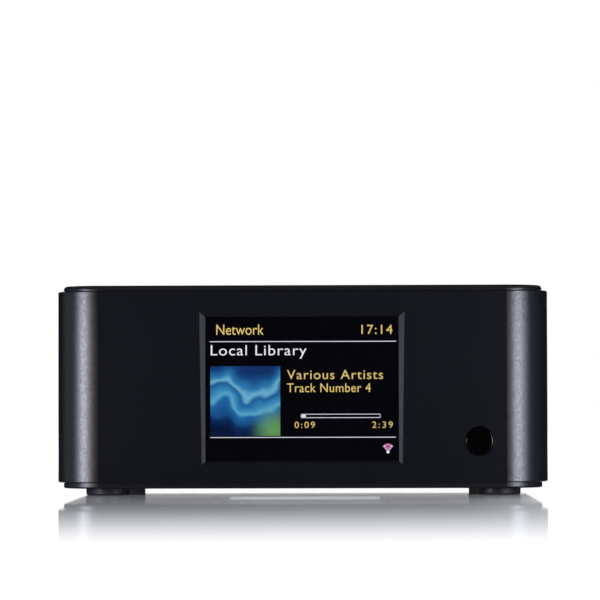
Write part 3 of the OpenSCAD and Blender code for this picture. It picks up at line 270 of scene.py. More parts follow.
# %% Lamp under the base
LOW_AT, LOW_TARGET, LOW_TINT = (0, -0.012, 0.0003), (0, -0.012, 0.05), (1, 1, 1)
LOW_WIDE, LOW_DEEP, LOW_RADIANCE = 0.07, 0.05, 0.7
under_lamp = soft_box("under_soft_box", LOW_AT, LOW_TARGET, LOW_WIDE, LOW_DEEP, LOW_RADIANCE, LOW_TINT)
under_lamp.visible_glossy = False

# %% [markdown]
# The air around the box is the world shader. The camera sees plain white. A mirrored or refracted ray sees
# white only straight behind the box, where a paper backdrop would hang, and all else is a dim room: that is
# why the sides of the box stay dark. The walls of the room at the left and right catch a little light of
# the soft boxes, which rounds the corners.

# %% World
WHITE = (1, 1, 1, 1)
ROOM, ROOM_TINT = 0.012, (0.88, 0.95, 1.17, 1)
PAPER, PAPER_FULL, PAPER_END = (0, 1, 0), 9, 15  # direction, and degrees off it
WALLS = (((-1, 0.08, 0), 0.33, 18), ((1, -0.09, 0), 0.15, 16))  # direction, brightness, narrowness
world = bpy.data.worlds.new("studio_air")
scene.world = world
world.use_nodes = True
air = world.node_tree
air.nodes.clear()
rays = node(air, "ShaderNodeLightPath").outputs
heading = node(air, "ShaderNodeTexCoord").outputs["Generated"]


def towards(direction):
    """How far a ray heads in a direction, as a cosine."""
    made = node(air, "ShaderNodeVectorMath", operation="DOT_PRODUCT")
    made.inputs[1].default_value = Vector(direction).normalized()
    join(air, heading, made.inputs[0])
    return made.outputs["Value"]


walls = ROOM
for direction, level, narrow in WALLS:
    lobe = maths(air, "POWER", maths(air, "MAXIMUM", towards(direction), 0.0), narrow, clamp=True)
    walls = maths(air, "ADD", maths(air, "MULTIPLY", lobe, level), walls)
end, full = (math.cos(math.radians(angle)) for angle in (PAPER_END, PAPER_FULL))
paper = ramp(air, towards(PAPER), end, full, 0.0, 1.0)
mirrored = maths(air, "MAXIMUM", rays["Is Glossy Ray"], rays["Is Transmission Ray"])
white_share = maths(air, "MAXIMUM", rays["Is Camera Ray"], maths(air, "MULTIPLY", mirrored, paper))
sky = node(air, "ShaderNodeBackground")
join(air, blend(air, white_share, ROOM_TINT, WHITE, colour=True), sky.inputs["Color"])
join(air, blend(air, white_share, walls, 1.0), sky.inputs["Strength"])
join(air, sky.outputs[0], node(air, "ShaderNodeOutputWorld").inputs["Surface"])
print("world has", len(air.nodes), "nodes")

# %% [markdown]
# The floor is white gloss board. Seen almost along its surface it mirrors the box, and the mirror image
# fades out towards the camera. So the first question for each spot is how much it mirrors: nearly all close
# under the box, a little less beside it, and ever less farther off. The mirror image is also weaker towards
# the right.

# %% Floor board
FLOOR_SIZE = 8  # metres, like the distances below
UNDER_SHARE, UNDER_DEPTH, UNDER_REACH = 0.99, (0.036, 0.05), (0.1, 0.14)
BESIDE_SHARE, BESIDE_REACH = 0.915, (0.075, 0.125)
FAR_SHARE, FAR_REACH = 0.855, (0.12, 0.46)
TO_THE_RIGHT = ((0.04, 0.085, 0.78), (-0.06, 0.01, 0.947))  # start, end, and the part that is left
start_clean()
bpy.ops.mesh.primitive_plane_add(size=FLOOR_SIZE)
floor = bpy.context.object
floor.name = "floor"
board = bpy.data.materials.new("gloss_board")
board.use_nodes = True
floor.data.materials.append(board)
tree = board.node_tree
tree.nodes.clear()
place = node(tree, "ShaderNodeTexCoord").outputs["Object"]
distance = node(tree, "ShaderNodeVectorMath", operation="LENGTH")
join(tree, place, distance.inputs[0])
far_off = distance.outputs["Value"]
split = node(tree, "ShaderNodeSeparateXYZ")
join(tree, place, split.inputs[0])
along, depth = split.outputs[0], maths(tree, "ABSOLUTE", split.outputs[1])
fade = ramp(tree, far_off, *FAR_REACH, FAR_SHARE, 0.0)
for start, end, left_over in TO_THE_RIGHT:
    fade = maths(tree, "MULTIPLY", ramp(tree, along, start, end, 1.0, left_over), fade)
beside = blend(tree, ramp(tree, far_off, *BESIDE_REACH, 1.0, 0.0), fade, BESIDE_SHARE)
under = maths(tree, "MULTIPLY", ramp(tree, depth, *UNDER_DEPTH, 1.0, 0.0),
              ramp(tree, far_off, *UNDER_REACH, 1.0, 0.0))
mirror = blend(tree, under, beside, UNDER_SHARE)
print("floor is", floor.dimensions.x, "m wide")

# %% [markdown]
# The second question is from where the spot is seen. The facing value of Layer Weight gives the gloss only
# at low angles. The plain part of the board glows for the camera alone, so it is white without lighting the
# box, and it still takes the shadow. Close to the box the glow is painted a tenth dimmer and slightly blue: a
# painted shade round the box, which lets the real shadow show, and a painted blue light of the soft boxes.

# %% Floor finish
BOUNCE_SHARE, LOW_ANGLES = 0.95, (0.8, 0.955)
PLAIN_GREY, GLOSS_ROUGH = (0.4, 0.4, 0.4, 1), 0.035
# Near the box the floor's glow is a tenth dimmer and slightly blue: painted shade and painted soft-box light.
PAINTED_BLUE_LIGHT, PAINTED_SHADE_LEVEL, PAINTED_POOL_REACH = (0.95, 0.985, 1.04, 1), 0.9, (0.12, 0.4)
rays = node(tree, "ShaderNodeLightPath").outputs
facing = node(tree, "ShaderNodeLayerWeight", Blend=0.5).outputs["Facing"]
share = maths(tree, "MULTIPLY", ramp(tree, facing, *LOW_ANGLES, 0.0, 1.0),
              blend(tree, rays["Is Camera Ray"], BOUNCE_SHARE, mirror))
glow = node(tree, "ShaderNodeEmission")
# Painted light: the glow is tinted blue and dimmed close to the box, and turns plain white farther off.
away = ramp(tree, far_off, *PAINTED_POOL_REACH, 0.0, 1.0)
join(tree, blend(tree, away, PAINTED_BLUE_LIGHT, WHITE, colour=True), glow.inputs["Color"])
level = ramp(tree, far_off, *PAINTED_POOL_REACH, PAINTED_SHADE_LEVEL, 1.0)
join(tree, maths(tree, "MULTIPLY", rays["Is Camera Ray"], level), glow.inputs["Strength"])
plain = node(tree, "ShaderNodeAddShader")
join(tree, node(tree, "ShaderNodeBsdfDiffuse", Color=PLAIN_GREY).outputs[0], plain.inputs[0])
join(tree, glow.outputs[0], plain.inputs[1])
gloss = node(tree, "ShaderNodeBsdfAnisotropic", Color=WHITE, Roughness=GLOSS_ROUGH)
surface = node(tree, "ShaderNodeMixShader")
for socket, source in zip(surface.inputs, (share, plain.outputs[0], gloss.outputs[0])):
    join(tree, source, socket)
join(tree, surface.outputs[0], node(tree, "ShaderNodeOutputMaterial").inputs["Surface"])
print("floor finish has", len(tree.nodes), "nodes")

# %% [markdown]
# No real surface is one even colour. Two effects are shared by most finishes here, so each is a node group
# that is built once. The first is the uneven tone that handling and casting leave in patches of millimetres
# to centimetres: it moves the colour between two near tones and the gloss between two near values.

# %% Shared effect: uneven tone
FLOAT, COLOUR, VECTOR = "NodeSocketFloat", "NodeSocketColor", "NodeSocketVector"


def effect(name, inputs, outputs):
    """An empty shader node group with named sockets, and the sockets of its two ends."""
    group = bpy.data.node_groups.new(name, "ShaderNodeTree")
    for sockets, side in ((inputs, "INPUT"), (outputs, "OUTPUT")):
        for label, kind in sockets:
            group.interface.new_socket(name=label, in_out=side, socket_type=kind)
    return group, node(group, "NodeGroupInput").outputs, node(group, "NodeGroupOutput").inputs


uneven_tone, given, result = effect(
    "uneven_tone",
    [("Vector", VECTOR), ("Colour", COLOUR), ("Second", COLOUR), ("Scale", FLOAT), ("Roughness", FLOAT),
     ("Spread", FLOAT)],
    [("Colour", COLOUR), ("Roughness", FLOAT)])
cloud = noise(uneven_tone, given["Vector"], given["Scale"], Detail=3.0, Roughness=0.6)
join(uneven_tone, blend(uneven_tone, cloud, given["Colour"], given["Second"], colour=True), result["Colour"])
swing = maths(uneven_tone, "SUBTRACT", cloud, 0.5)
sheen = maths(uneven_tone, "MULTIPLY_ADD", swing, given["Spread"], given["Roughness"])
join(uneven_tone, sheen, result["Roughness"])
print("uneven_tone has", len(uneven_tone.nodes), "nodes")

# %% [markdown]
# The second is fine grain, such as a blasted metal or a moulded plastic has. Two layers of noise, one about
# three times as coarse as the other, keep it from looking regular. Their sum comes out as a height, for a
# Bump node. The fine layer also comes out by itself, for the sparkle of a blasted metal.

# %% Shared effect: fine grain
SWELL_SCALE = 0.31
fine_grain, given, result = effect("fine_grain", [("Vector", VECTOR), ("Scale", FLOAT)],
                                   [("Height", FLOAT), ("Pits", FLOAT)])
pits = noise(fine_grain, given["Vector"], given["Scale"], Detail=2.0, Roughness=0.5)
coarse = maths(fine_grain, "MULTIPLY", given["Scale"], SWELL_SCALE)
swell = noise(fine_grain, given["Vector"], coarse, Detail=1.0)
join(fine_grain, maths(fine_grain, "ADD", pits, swell), result["Height"])
join(fine_grain, pits, result["Pits"])
print("fine_grain has", len(fine_grain.nodes), "nodes")

# %% [markdown]
# The third belongs to the screen: a liquid crystal panel is a grid of cells with dark lines between them,
# about five to the millimetre. From a step away it only softens the light, but a close look shows it. The
# group scales a colour by the grid and makes up for the light that the lines take.

# %% Shared effect: screen cells
CELL = 0.183 * MM
LINE_WIDE, LINE_DIM, CELL_BRIGHT = 0.2, 0.7, 1.06
screen_cells, given, result = effect("screen_cells", [("Vector", VECTOR), ("Colour", COLOUR)],
                                     [("Colour", COLOUR)])
split = node(screen_cells, "ShaderNodeSeparateXYZ")
join(screen_cells, given["Vector"], split.inputs[0])
lines = []
for axis in (0, 2):
    wave = maths(screen_cells, "PINGPONG", split.outputs[axis], CELL / 2)
    lines.append(ramp(screen_cells, wave, 0.0, CELL * LINE_WIDE, LINE_DIM, CELL_BRIGHT))
lit = node(screen_cells, "ShaderNodeVectorMath", operation="SCALE")
join(screen_cells, given["Colour"], lit.inputs[0])
join(screen_cells, maths(screen_cells, "MULTIPLY", *lines), lit.inputs["Scale"])
join(screen_cells, lit.outputs[0], result["Colour"])
print("screen_cells has", len(screen_cells.nodes), "nodes")

# %% [markdown]
# One function makes most finishes: a Principled shader whose colour and gloss come from uneven tone, with
# fine grain as bump. Where a finish sparkles, the high spots of the grain also carry some clear coat.
# Colours are written as they look on a screen, from 0 to 255, and turned into light values here.

# %% Finish maker
SPARKLE_LOW, SPARKLE_HIGH = 0.4, 0.62
finishes = {}


def light(red, green, blue):
    """A screen colour as linear light, with full alpha."""
    part = [(v / 255) / 12.92 if v <= 10.3 else ((v / 255 + 0.055) / 1.055) ** 2.4
            for v in (red, green, blue)]
    return (*part, 1.0)


def add_effect(tree, group, place, **values):
    """A shared effect in a material, at a place."""
    made = node(tree, "ShaderNodeGroup", node_tree=group, **values)
    join(tree, place, made.inputs["Vector"])
    return made


def finish(name, colour, second, rough, spread=0.06, patch=45, grain=0.3, depth=0.004, metallic=0.0,
           sparkle=0.0):
    """A material: two near colours, gloss and its spread, patches per metre, grain and its depth in mm."""
    made = bpy.data.materials.new(name)
    made.use_nodes = True
    tree = made.node_tree
    shader = tree.nodes["Principled BSDF"].inputs
    shader["Metallic"].default_value = metallic
    shader["Coat Roughness"].default_value = rough
    place = node(tree, "ShaderNodeTexCoord").outputs["Object"]
    tone = add_effect(tree, uneven_tone, place, Colour=light(*colour), Second=light(*second), Scale=patch,
                      Roughness=rough, Spread=spread)
    join(tree, tone.outputs["Colour"], shader["Base Color"])
    join(tree, tone.outputs["Roughness"], shader["Roughness"])
    skin = add_effect(tree, fine_grain, place, Scale=1 / (grain * MM))
    bump = node(tree, "ShaderNodeBump", Strength=1.0, Distance=depth * MM)
    join(tree, skin.outputs["Height"], bump.inputs["Height"])
    join(tree, bump.outputs["Normal"], shader["Normal"])
    if sparkle:
        glints = ramp(tree, skin.outputs["Pits"], SPARKLE_LOW, SPARKLE_HIGH, 0.0, sparkle, "LINEAR")
        join(tree, glints, shader["Coat Weight"])
    return made


def add_finishes(table):
    """Make a group of finishes from their values, in the order that finish takes them."""
    for name, values in table.items():
        finishes[name] = finish(name, *values)
    print("finished:", ", ".join(table))


print("finish maker is ready")

# %% [markdown]
# The sleeve is aluminium, blasted with fine beads and anodised black. The dyed oxide layer acts like a dark
# satin lacquer, so the shader isn't metallic. The grain sparkles a little in the corner highlights. The
# cover and base are black plastic with a slightly softer sheen, and the feet are matt rubber.

# %% Finishes of the case
add_finishes({
    "sleeve_aluminium": ((26, 28, 32), (29, 31, 35), 0.17, 0.02, 60, 0.48, 0.002, 0.0, 0.53),
    "cover_plastic": ((34, 35, 37), (40, 40, 42), 0.24, 0.06, 70, 0.35, 0.004),
    "foot_rubber": ((60, 60, 63), (70, 70, 73), 0.45, 0.1, 160, 0.25, 0.01),
    "panel_black": ((17, 17, 19), (23, 23, 25), 0.5, 0.08, 60, 0.4, 0.012),
    "label_film": ((225, 227, 230), (205, 208, 212), 0.4, 0.1, 90, 0.5, 0.004),
})

# %% [markdown]
# Turned, stamped and plated metals are metallic shaders. Nickel is bright and slightly warm, brass yellow,
# screws darker from their oil. The patches are small, because fingers and tools mark bright metal in spots.

# %% Finishes of metal
add_finishes({
    "nickel": ((205, 203, 198), (180, 178, 172), 0.2, 0.12, 260, 0.3, 0.002, 1.0),
    "contact_gold": ((226, 182, 98), (202, 156, 72), 0.22, 0.12, 400, 0.2, 0.002, 1.0),
    "brass": ((200, 170, 96), (172, 140, 70), 0.3, 0.12, 220, 0.3, 0.003, 1.0),
    "bright_sheet": ((190, 191, 192), (166, 167, 170), 0.28, 0.14, 120, 0.4, 0.004, 1.0),
    "screw_steel": ((150, 150, 152), (120, 120, 124), 0.34, 0.12, 300, 0.2, 0.003, 1.0),
    "screw_black": ((26, 26, 28), (38, 38, 40), 0.36, 0.14, 300, 0.2, 0.003, 0.6),
    "sink_aluminium": ((30, 30, 33), (44, 44, 47), 0.42, 0.1, 150, 0.3, 0.006, 0.5),
})

# %% [markdown]
# Mouldings are dyed right through and carry the texture of their mould. The socket inserts have the usual
# code of colours: white for the left channel, red for the right one, orange for the digital output. The
# rocker is glossier than its housing, because fingers polish it.

# %% Finishes of mouldings
add_finishes({
    "black_moulding": ((18, 18, 19), (25, 25, 27), 0.42, 0.12, 130, 0.3, 0.008),
    "rocker_black": ((14, 14, 15), (20, 20, 21), 0.26, 0.1, 130, 0.25, 0.003),
    "insert_white": ((232, 230, 224), (216, 213, 206), 0.36, 0.1, 150, 0.3, 0.004),
    "insert_red": ((176, 24, 22), (150, 17, 17), 0.34, 0.1, 150, 0.3, 0.004),
    "insert_orange": ((222, 108, 22), (198, 90, 16), 0.34, 0.1, 150, 0.3, 0.004),
    "tongue_white": ((226, 225, 220), (205, 204, 198), 0.42, 0.1, 200, 0.25, 0.004),
    "foam_black": ((22, 22, 23), (34, 34, 36), 0.9, 0.1, 400, 0.5, 0.06),
    "coil_ferrite": ((42, 40, 40), (58, 56, 56), 0.6, 0.12, 260, 0.3, 0.012),
    "lead_black": ((20, 20, 21), (30, 30, 31), 0.4, 0.1, 300, 0.2, 0.003),
    "antenna_film": ((150, 96, 34), (124, 76, 24), 0.34, 0.1, 150, 0.4, 0.004),
    "emitter_red": ((150, 16, 14), (196, 34, 28), 0.15, 0.06, 300, 0.3, 0.001),
})

# %% [markdown]
# A circuit board has copper tracks under its lacquer. A brick pattern gives a mesh of thin lines that reads
# as tracks, and the lacquer over them makes the board shine. The same pattern with long bricks draws the
# wires of the ribbon and the printed stripe of a capacitor.

# %% Finishes of boards and ribbon


def striped(name, ground, line, rough, wide, tall, gap):
    """A finish with a brick pattern of thin lines, in mm, over a ground colour."""
    made = finish(name, ground, ground, rough)
    tree = made.node_tree
    tracks = node(tree, "ShaderNodeTexBrick", Scale=1.0)
    for key, value in (("Color1", light(*ground)), ("Color2", light(*ground)), ("Mortar", light(*line)),
                       ("Mortar Size", gap * MM), ("Brick Width", wide * MM), ("Row Height", tall * MM)):
        tracks.inputs[key].default_value = value
    join(tree, node(tree, "ShaderNodeTexCoord").outputs["Object"], tracks.inputs["Vector"])
    join(tree, tracks.outputs["Color"], tree.nodes["Principled BSDF"].inputs["Base Color"])
    return made


for name, *pattern in (("board_green", (14, 66, 34), (34, 104, 58), 0.3, 7.4, 1.3, 0.14),
                       ("board_blue", (16, 36, 92), (42, 70, 138), 0.3, 5.2, 1.1, 0.14),
                       ("ribbon_white", (222, 222, 216), (168, 170, 172), 0.4, 0.5, 200, 0.12),
                       ("capacitor_film", (24, 26, 34), (150, 152, 158), 0.3, 8, 40, 0.5)):
    finishes[name] = striped(name, *pattern)
print("finishes so far:", len(finishes))

# %% [markdown]
# The remote window is moulded from a filter plastic that looks black and lets only infrared through, so a
# trace of deep red is all that shows. Its mould is polished, so it gets a high gloss and next to no grain.

# %% Remote window
add_finishes({"ir_filter": ((6, 2, 1), (8, 2, 1), 0.08, 0.03, 120, 0.6, 0.0005)})

# %% [markdown]
# The display window is clear acrylic in front of the panel. Transmission carries the picture through it,
# and a little unevenness in its gloss is all that shows of the sheet itself.

# %% Display window
ACRYLIC_IOR = 1.45
add_finishes({"window_clear": ((250, 251, 253), (246, 248, 250), 0.02, 0.02, 60, 1.5, 0.0)})
clear = finishes["window_clear"].node_tree.nodes["Principled BSDF"].inputs
clear["Transmission Weight"].default_value = 1.0
clear["IOR"].default_value = ACRYLIC_IOR

# %% [markdown]
# A lit panel is never quite black, because some light leaks through the closed cells. The panel glows a
# very dark blue, and everything it shows glows too: same shader, brighter colours. The function keeps the
# surface black, so only the glow is seen.

# %% Glow maker


def lit_film(name):
    """A black material that glows through the cells, its coordinates and the socket for its colour."""
    made = bpy.data.materials.new(name)
    made.use_nodes = True
    tree = made.node_tree
    shader = tree.nodes["Principled BSDF"].inputs
    for key, value in (("Base Color", light(2, 2, 2)), ("Roughness", 0.5), ("Specular IOR Level", 0.0),
                       ("Emission Strength", 1.0)):
        shader[key].default_value = value
    place = node(tree, "ShaderNodeTexCoord").outputs["Object"]
    cells = add_effect(tree, screen_cells, place)
    join(tree, cells.outputs["Colour"], shader["Emission Color"])
    return made, place, cells.inputs["Colour"]


def screen_glow(name, colour, second, patch=120):
    """A material for what the screen shows: light of two near colours."""
    made, place, shown = lit_film(name)
    tone = add_effect(made.node_tree, uneven_tone, place, Colour=light(*colour), Second=light(*second),
                      Scale=patch)
    join(made.node_tree, tone.outputs["Colour"], shown)
    return made


finishes["display_glass"] = screen_glow("display_glass", (3, 2, 6), (6, 5, 11), 40)
print("display panel is finished")

# %% [markdown]
# Every CAD solid carries the name of a finish from the record. A loop puts the finished material of the
# same name in each material slot, and nothing else about the solids is touched.

# %% Dress the CAD solids
dressed = 0
for solid in frame["nodes"].values():
    for holder in solid.material_slots:
        holder.material = finishes[holder.material.name.split(".")[0]]
        dressed += 1
print("dressed", dressed, "slots of", len(frame["nodes"]), "solids with", len(finishes), "finishes")

# %% [markdown]
# Now the picture on the screen. All of it lies on the front of the panel, under the window, as a film about
# as thick as a hair. Places are in millimetres from the middle of the opening: x to the right and z up.

# %% Screen frame of reference
FILM = 0.04
SCREEN_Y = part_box("lcd_panel")[0].y / MM
SCREEN_Z = 32.55


def on_screen(x, z, y=SCREEN_Y):
    """A place in metres from one in mm round the middle of the opening."""
    return Vector((x * MM, y * MM, (SCREEN_Z + z) * MM))


def pick(piece):
    """Select one piece only, and make it the active one."""
    start_clean()
    piece.select_set(True)
    bpy.context.view_layer.objects.active = piece


def settle(piece, name, body, material):
    """Name a finished piece, put its place into its mesh, dress it and let it ride on a body."""
    pick(piece)
    piece.name = name
    bpy.ops.object.transform_apply(location=True, rotation=True, scale=True)
    piece.data.materials.clear()
    piece.data.materials.append(material)
    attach(piece, body)
    size = [round(v / MM, 2) for v in piece.dimensions]
    print(name, "measures", size, "mm and rides on", body)
    return piece


def show(piece, name, glow):
    """Settle a piece of the screen's picture."""
    settle(piece, name, "case", glow)


print("panel front at y =", round(SCREEN_Y, 2), "mm")

# %% [markdown]
# Lettering is made as a text object, whose letters can be set wider apart, and then turned into a mesh. It
# is scaled so that its capitals and its length fit the places they should have. The words are plain ones
# that any such screen would show.

# %% Lettering maker
gold = screen_glow("screen_gold", (242, 210, 118), (236, 203, 110))
white = screen_glow("screen_white", (246, 246, 255), (240, 240, 252))


def text_mesh(words, apart):
    """Words as a mesh, one unit thick, in the font's own size."""
    start_clean()
    bpy.ops.object.text_add()
    made = bpy.context.object
    made.data.body = words
    made.data.space_character = apart
    made.data.extrude = 0.5
    bpy.ops.object.convert(target="MESH")
    return bpy.context.object


def extent(made, axis):
    """The least and the greatest coordinate of a mesh along an axis."""
    spots = [vertex.co[axis] for vertex in made.data.vertices]
    return min(spots), max(spots)


def lettering(words, left, right, base, cap, apart=1.0):
    """Words as an upright film: from left to right, from a base line to the top of capitals, in mm."""
    foot, head = extent(text_mesh("H", apart), 1)
    bpy.ops.object.delete()
    made = text_mesh(words, apart)
    first, last = extent(made, 0)
    tall = (cap - base) * MM / (head - foot)
    wide = (right - left) * MM / (last - first)
    made.scale = (wide, tall, FILM * MM)
    made.rotation_euler = (math.radians(90), 0, 0)
    made.location = on_screen(left, base, SCREEN_Y - FILM / 2) - Vector((first * wide, 0, foot * tall))
    return made


WORDS = [("header_word", "Network", -26.08, -11.67, 16.54, 19.64, gold, 1.0),
         ("clock_word", "17:14", 18.05, 27.5, 16.66, 19.43, gold, 1.12),
         ("status_word", "Local Library", -27.77, 1.35, 10.26, 13.37, white, 1.1),
         ("title_word", "Various Artists", -4.61, 24.59, 2.99, 5.76, gold, 1.12),
         ("track_word", "Track Number 4", -4.61, 20.84, -0.97, 1.71, gold, 1.06),
         ("elapsed_word", "0:09", -2.33, 3.86, -11.85, -9.96, gold, 1.3),
         ("total_word", "2:39", 21.23, 27.5, -11.85, -9.96, gold, 1.3)]
for name, words, left, right, base, cap, colour, apart in WORDS:
    show(lettering(words, left, right, base, cap, apart), name, colour)

# %% [markdown]
# Two thin rules part the screen into a header, a middle and a footer. Each starts as a cube at its size,
# and a small bevel takes the hard ends off, as the soft edge of a lit line does.

# %% Rules
pale = screen_glow("screen_pale", (240, 237, 255), (234, 231, 250))
RULE_EDGE, SOFT_STEPS = 0.01, 2
RULES = (("upper_rule", -28.07, 28.58, 14.32, 14.55), ("lower_rule", -27.97, 28.38, -14.81, -14.58))


def edit_all():
    """Go into edit mode with everything selected."""
    bpy.ops.object.mode_set(mode="EDIT")
    bpy.ops.mesh.select_all(action="SELECT")


def soft_bar(wide, deep, tall, soften, middle=(0, 0, 0)):
    """A bar of a size in mm round a place in metres, with softened edges."""
    start_clean()
    bpy.ops.mesh.primitive_cube_add(size=1, location=middle)
    made = bpy.context.object
    made.scale = (wide * MM, deep * MM, tall * MM)
    bpy.ops.object.transform_apply(location=False, rotation=False, scale=True)
    edit_all()
    bpy.ops.mesh.bevel(offset=soften * MM, segments=SOFT_STEPS, affect="EDGES")
    bpy.ops.object.mode_set(mode="OBJECT")
    return made


for name, left, right, low, high in RULES:
    middle = on_screen((left + right) / 2, (low + high) / 2, SCREEN_Y - FILM / 2)
    show(soft_bar(right - left, FILM, high - low, RULE_EDGE, middle), name, pale)

# %% [markdown]
# The progress bar is a long thin frame with round ends, and a short filled part at its left. The frame
# starts as a plane: its corners are bevelled round, the face is inset to leave the frame's width, and the
# inner face is deleted. Solidify then gives the flat ring its thickness.

# %% Progress bar
FRAME_PLACE, FRAME_ROUND, FRAME_WIDE = (-0.41, 23.81, -8.83, -7.59), 0.35, 0.19
FILL_PLACE, FILL_ROUND = (-0.1, 1.11, -8.54, -7.88), 0.15
ROUND_STEPS = 5


def flat_plate(left, right, low, high, round_r):
    """An upright plane on the panel with rounded corners, in mm from the middle of the opening."""
    start_clean()
    bpy.ops.mesh.primitive_plane_add(size=1, rotation=(math.radians(90), 0, 0),
                                     location=on_screen((left + right) / 2, (low + high) / 2))
    made = bpy.context.object
    made.scale = ((right - left) * MM, (high - low) * MM, 1)
    bpy.ops.object.transform_apply(location=True, rotation=True, scale=True)
    edit_all()
    bpy.ops.mesh.bevel(offset=round_r * MM, segments=ROUND_STEPS, affect="VERTICES")
    bpy.ops.object.mode_set(mode="OBJECT")
    return made


def film(made):
    """Turn a flat piece so that its faces look out of the screen, and give it the thickness of the film."""
    pick(made)
    if sum(face.normal.y * face.area for face in made.data.polygons) > 0:
        edit_all()
        bpy.ops.mesh.flip_normals()
        bpy.ops.object.mode_set(mode="OBJECT")
    wall = made.modifiers.new("film", "SOLIDIFY")
    wall.thickness = FILM * MM
    wall.offset = 1.0
    bpy.ops.object.modifier_apply(modifier=wall.name)
    return made


progress = flat_plate(*FRAME_PLACE, FRAME_ROUND)
edit_all()
bpy.ops.mesh.inset(thickness=FRAME_WIDE * MM, use_boundary=True)
bpy.ops.mesh.delete(type="FACE")
bpy.ops.object.mode_set(mode="OBJECT")
show(film(progress), "progress_frame", pale)
show(film(flat_plate(*FILL_PLACE, FILL_ROUND)), "progress_fill", white)

# %% [markdown]
# The sign at the lower right is the usual fan of two arcs for a wireless signal over a dot. One short edge
# is spun round a middle above the dot to make each band, which is the quickest way to an even curve. The
# ends of the arcs are paler, so each arc is three bands that share their ends.

# %% Signal fan
lavender = screen_glow("screen_lavender", (212, 204, 238), (206, 198, 232))
pink = screen_glow("screen_pink", (226, 120, 168), (214, 104, 156))
FAN_X, FAN_Z, DOT_R, DOT_SIDES = 26.02, -19.13, 0.5, 20
# How far an arc's middle lies above the dot, and its inner and outer radius, in mm
ARCS = (("small", 0.38, 0.24, 1.1), ("large", 0.79, 0.92, 1.72))
BANDS = (("left", -64, -42, lavender), ("middle", -42, 42, pink), ("right", 42, 64, lavender))
SPIN_STEPS, SAME_SPOT = 10, 0.001 * MM


def arc(rise, inner, outer, first, last):
    """A flat band between two radii round a point above the dot, in mm, and two angles in degrees."""
    start_clean()
    bpy.ops.mesh.primitive_plane_add(size=1)
    made = bpy.context.object
    middle = on_screen(FAN_X, FAN_Z + rise)
    turn = math.radians(90 - first)
    for vertex, radius in zip(made.data.vertices, (inner, outer, inner, outer)):
        vertex.co = middle + Vector((math.cos(turn), 0, math.sin(turn))) * radius * MM
    edit_all()
    bpy.ops.mesh.remove_doubles(threshold=SAME_SPOT)
    bpy.ops.mesh.select_all(action="SELECT")
    bpy.ops.mesh.spin(steps=SPIN_STEPS, angle=math.radians(first - last), center=middle, axis=(0, 1, 0))
    bpy.ops.mesh.select_all(action="SELECT")
    bpy.ops.mesh.remove_doubles(threshold=SAME_SPOT)
    bpy.ops.mesh.normals_make_consistent(inside=False)
    bpy.ops.object.mode_set(mode="OBJECT")
    return made


for size, *radii in ARCS:
    for part, first, last, colour in BANDS:
        show(film(arc(*radii, first, last)), "signal_%s_%s" % (size, part), colour)
start_clean()
bpy.ops.mesh.primitive_circle_add(vertices=DOT_SIDES, radius=DOT_R * MM, fill_type="NGON",
                                  rotation=(math.radians(90), 0, 0), location=on_screen(FAN_X, FAN_Z))
dot = bpy.context.object
bpy.ops.object.transform_apply(location=True, rotation=True, scale=True)
show(film(dot), "signal_dot", white)

# %% [markdown]
# Beside the titles such a screen shows a square picture for the record. This one is a plain pattern of
# broad waves in blues. It is painted by nodes: the height of each point in the square, bent by two sine
# waves and a little noise, picks a colour from a ramp.

# %% Cover picture: waves
TILE = (-27.92, -6.67, -14.22, 6.97)
WAVES = ((6.5, 0.8, 0.11), (15.0, 2.0, 0.03))  # frequency, start and height
DRIFT_SCALE, DRIFT_DETAIL, DRIFT_HEIGHT, DRIFT_BASE = 2.6, 1.5, 0.5, 0.25
STOPS = [(0.0, (8, 24, 58)), (0.16, (12, 44, 92)), (0.22, (22, 74, 130)), (0.36, (34, 104, 166)),
         (0.42, (92, 172, 208)), (0.5, (58, 138, 188)), (0.62, (30, 96, 156)), (0.68, (112, 182, 212)),
         (0.76, (48, 128, 180)), (0.9, (24, 76, 136)), (1.0, (20, 50, 104))]
picture, place, shown = lit_film("screen_picture")
tree = picture.node_tree
left, right, low, high = TILE
centre = node(tree, "ShaderNodeMapping", vector_type="TEXTURE")
centre.inputs["Location"].default_value = on_screen((left + right) / 2, (low + high) / 2, 0)
centre.inputs["Scale"].default_value = ((right - left) * MM, 1, (high - low) * MM)
join(tree, place, centre.inputs["Vector"])
square = centre.outputs["Vector"]
split = node(tree, "ShaderNodeSeparateXYZ")
join(tree, square, split.inputs[0])
across, up = split.outputs[0], split.outputs[2]
cloud = noise(tree, square, DRIFT_SCALE, Detail=DRIFT_DETAIL)
level = maths(tree, "ADD", up, maths(tree, "MULTIPLY_ADD", cloud, DRIFT_HEIGHT, DRIFT_BASE))
for frequency, begin, height in WAVES:
    wave = maths(tree, "SINE", maths(tree, "MULTIPLY_ADD", across, frequency, begin))
    level = maths(tree, "MULTIPLY_ADD", wave, height, level)
bands = node(tree, "ShaderNodeValToRGB")
for spot, (at, colour) in enumerate(STOPS):
    stop = bands.color_ramp.elements[spot] if spot < 2 else bands.color_ramp.elements.new(at)
    stop.position = at
    stop.color = light(*colour)
join(tree, level, bands.inputs[0])
print("waves have", len(STOPS), "colours")

# %% [markdown]
# A soft green glow lies in one corner of the picture. The distance from a spot near that corner mixes it
# in. Then the picture gets its plate on the panel.

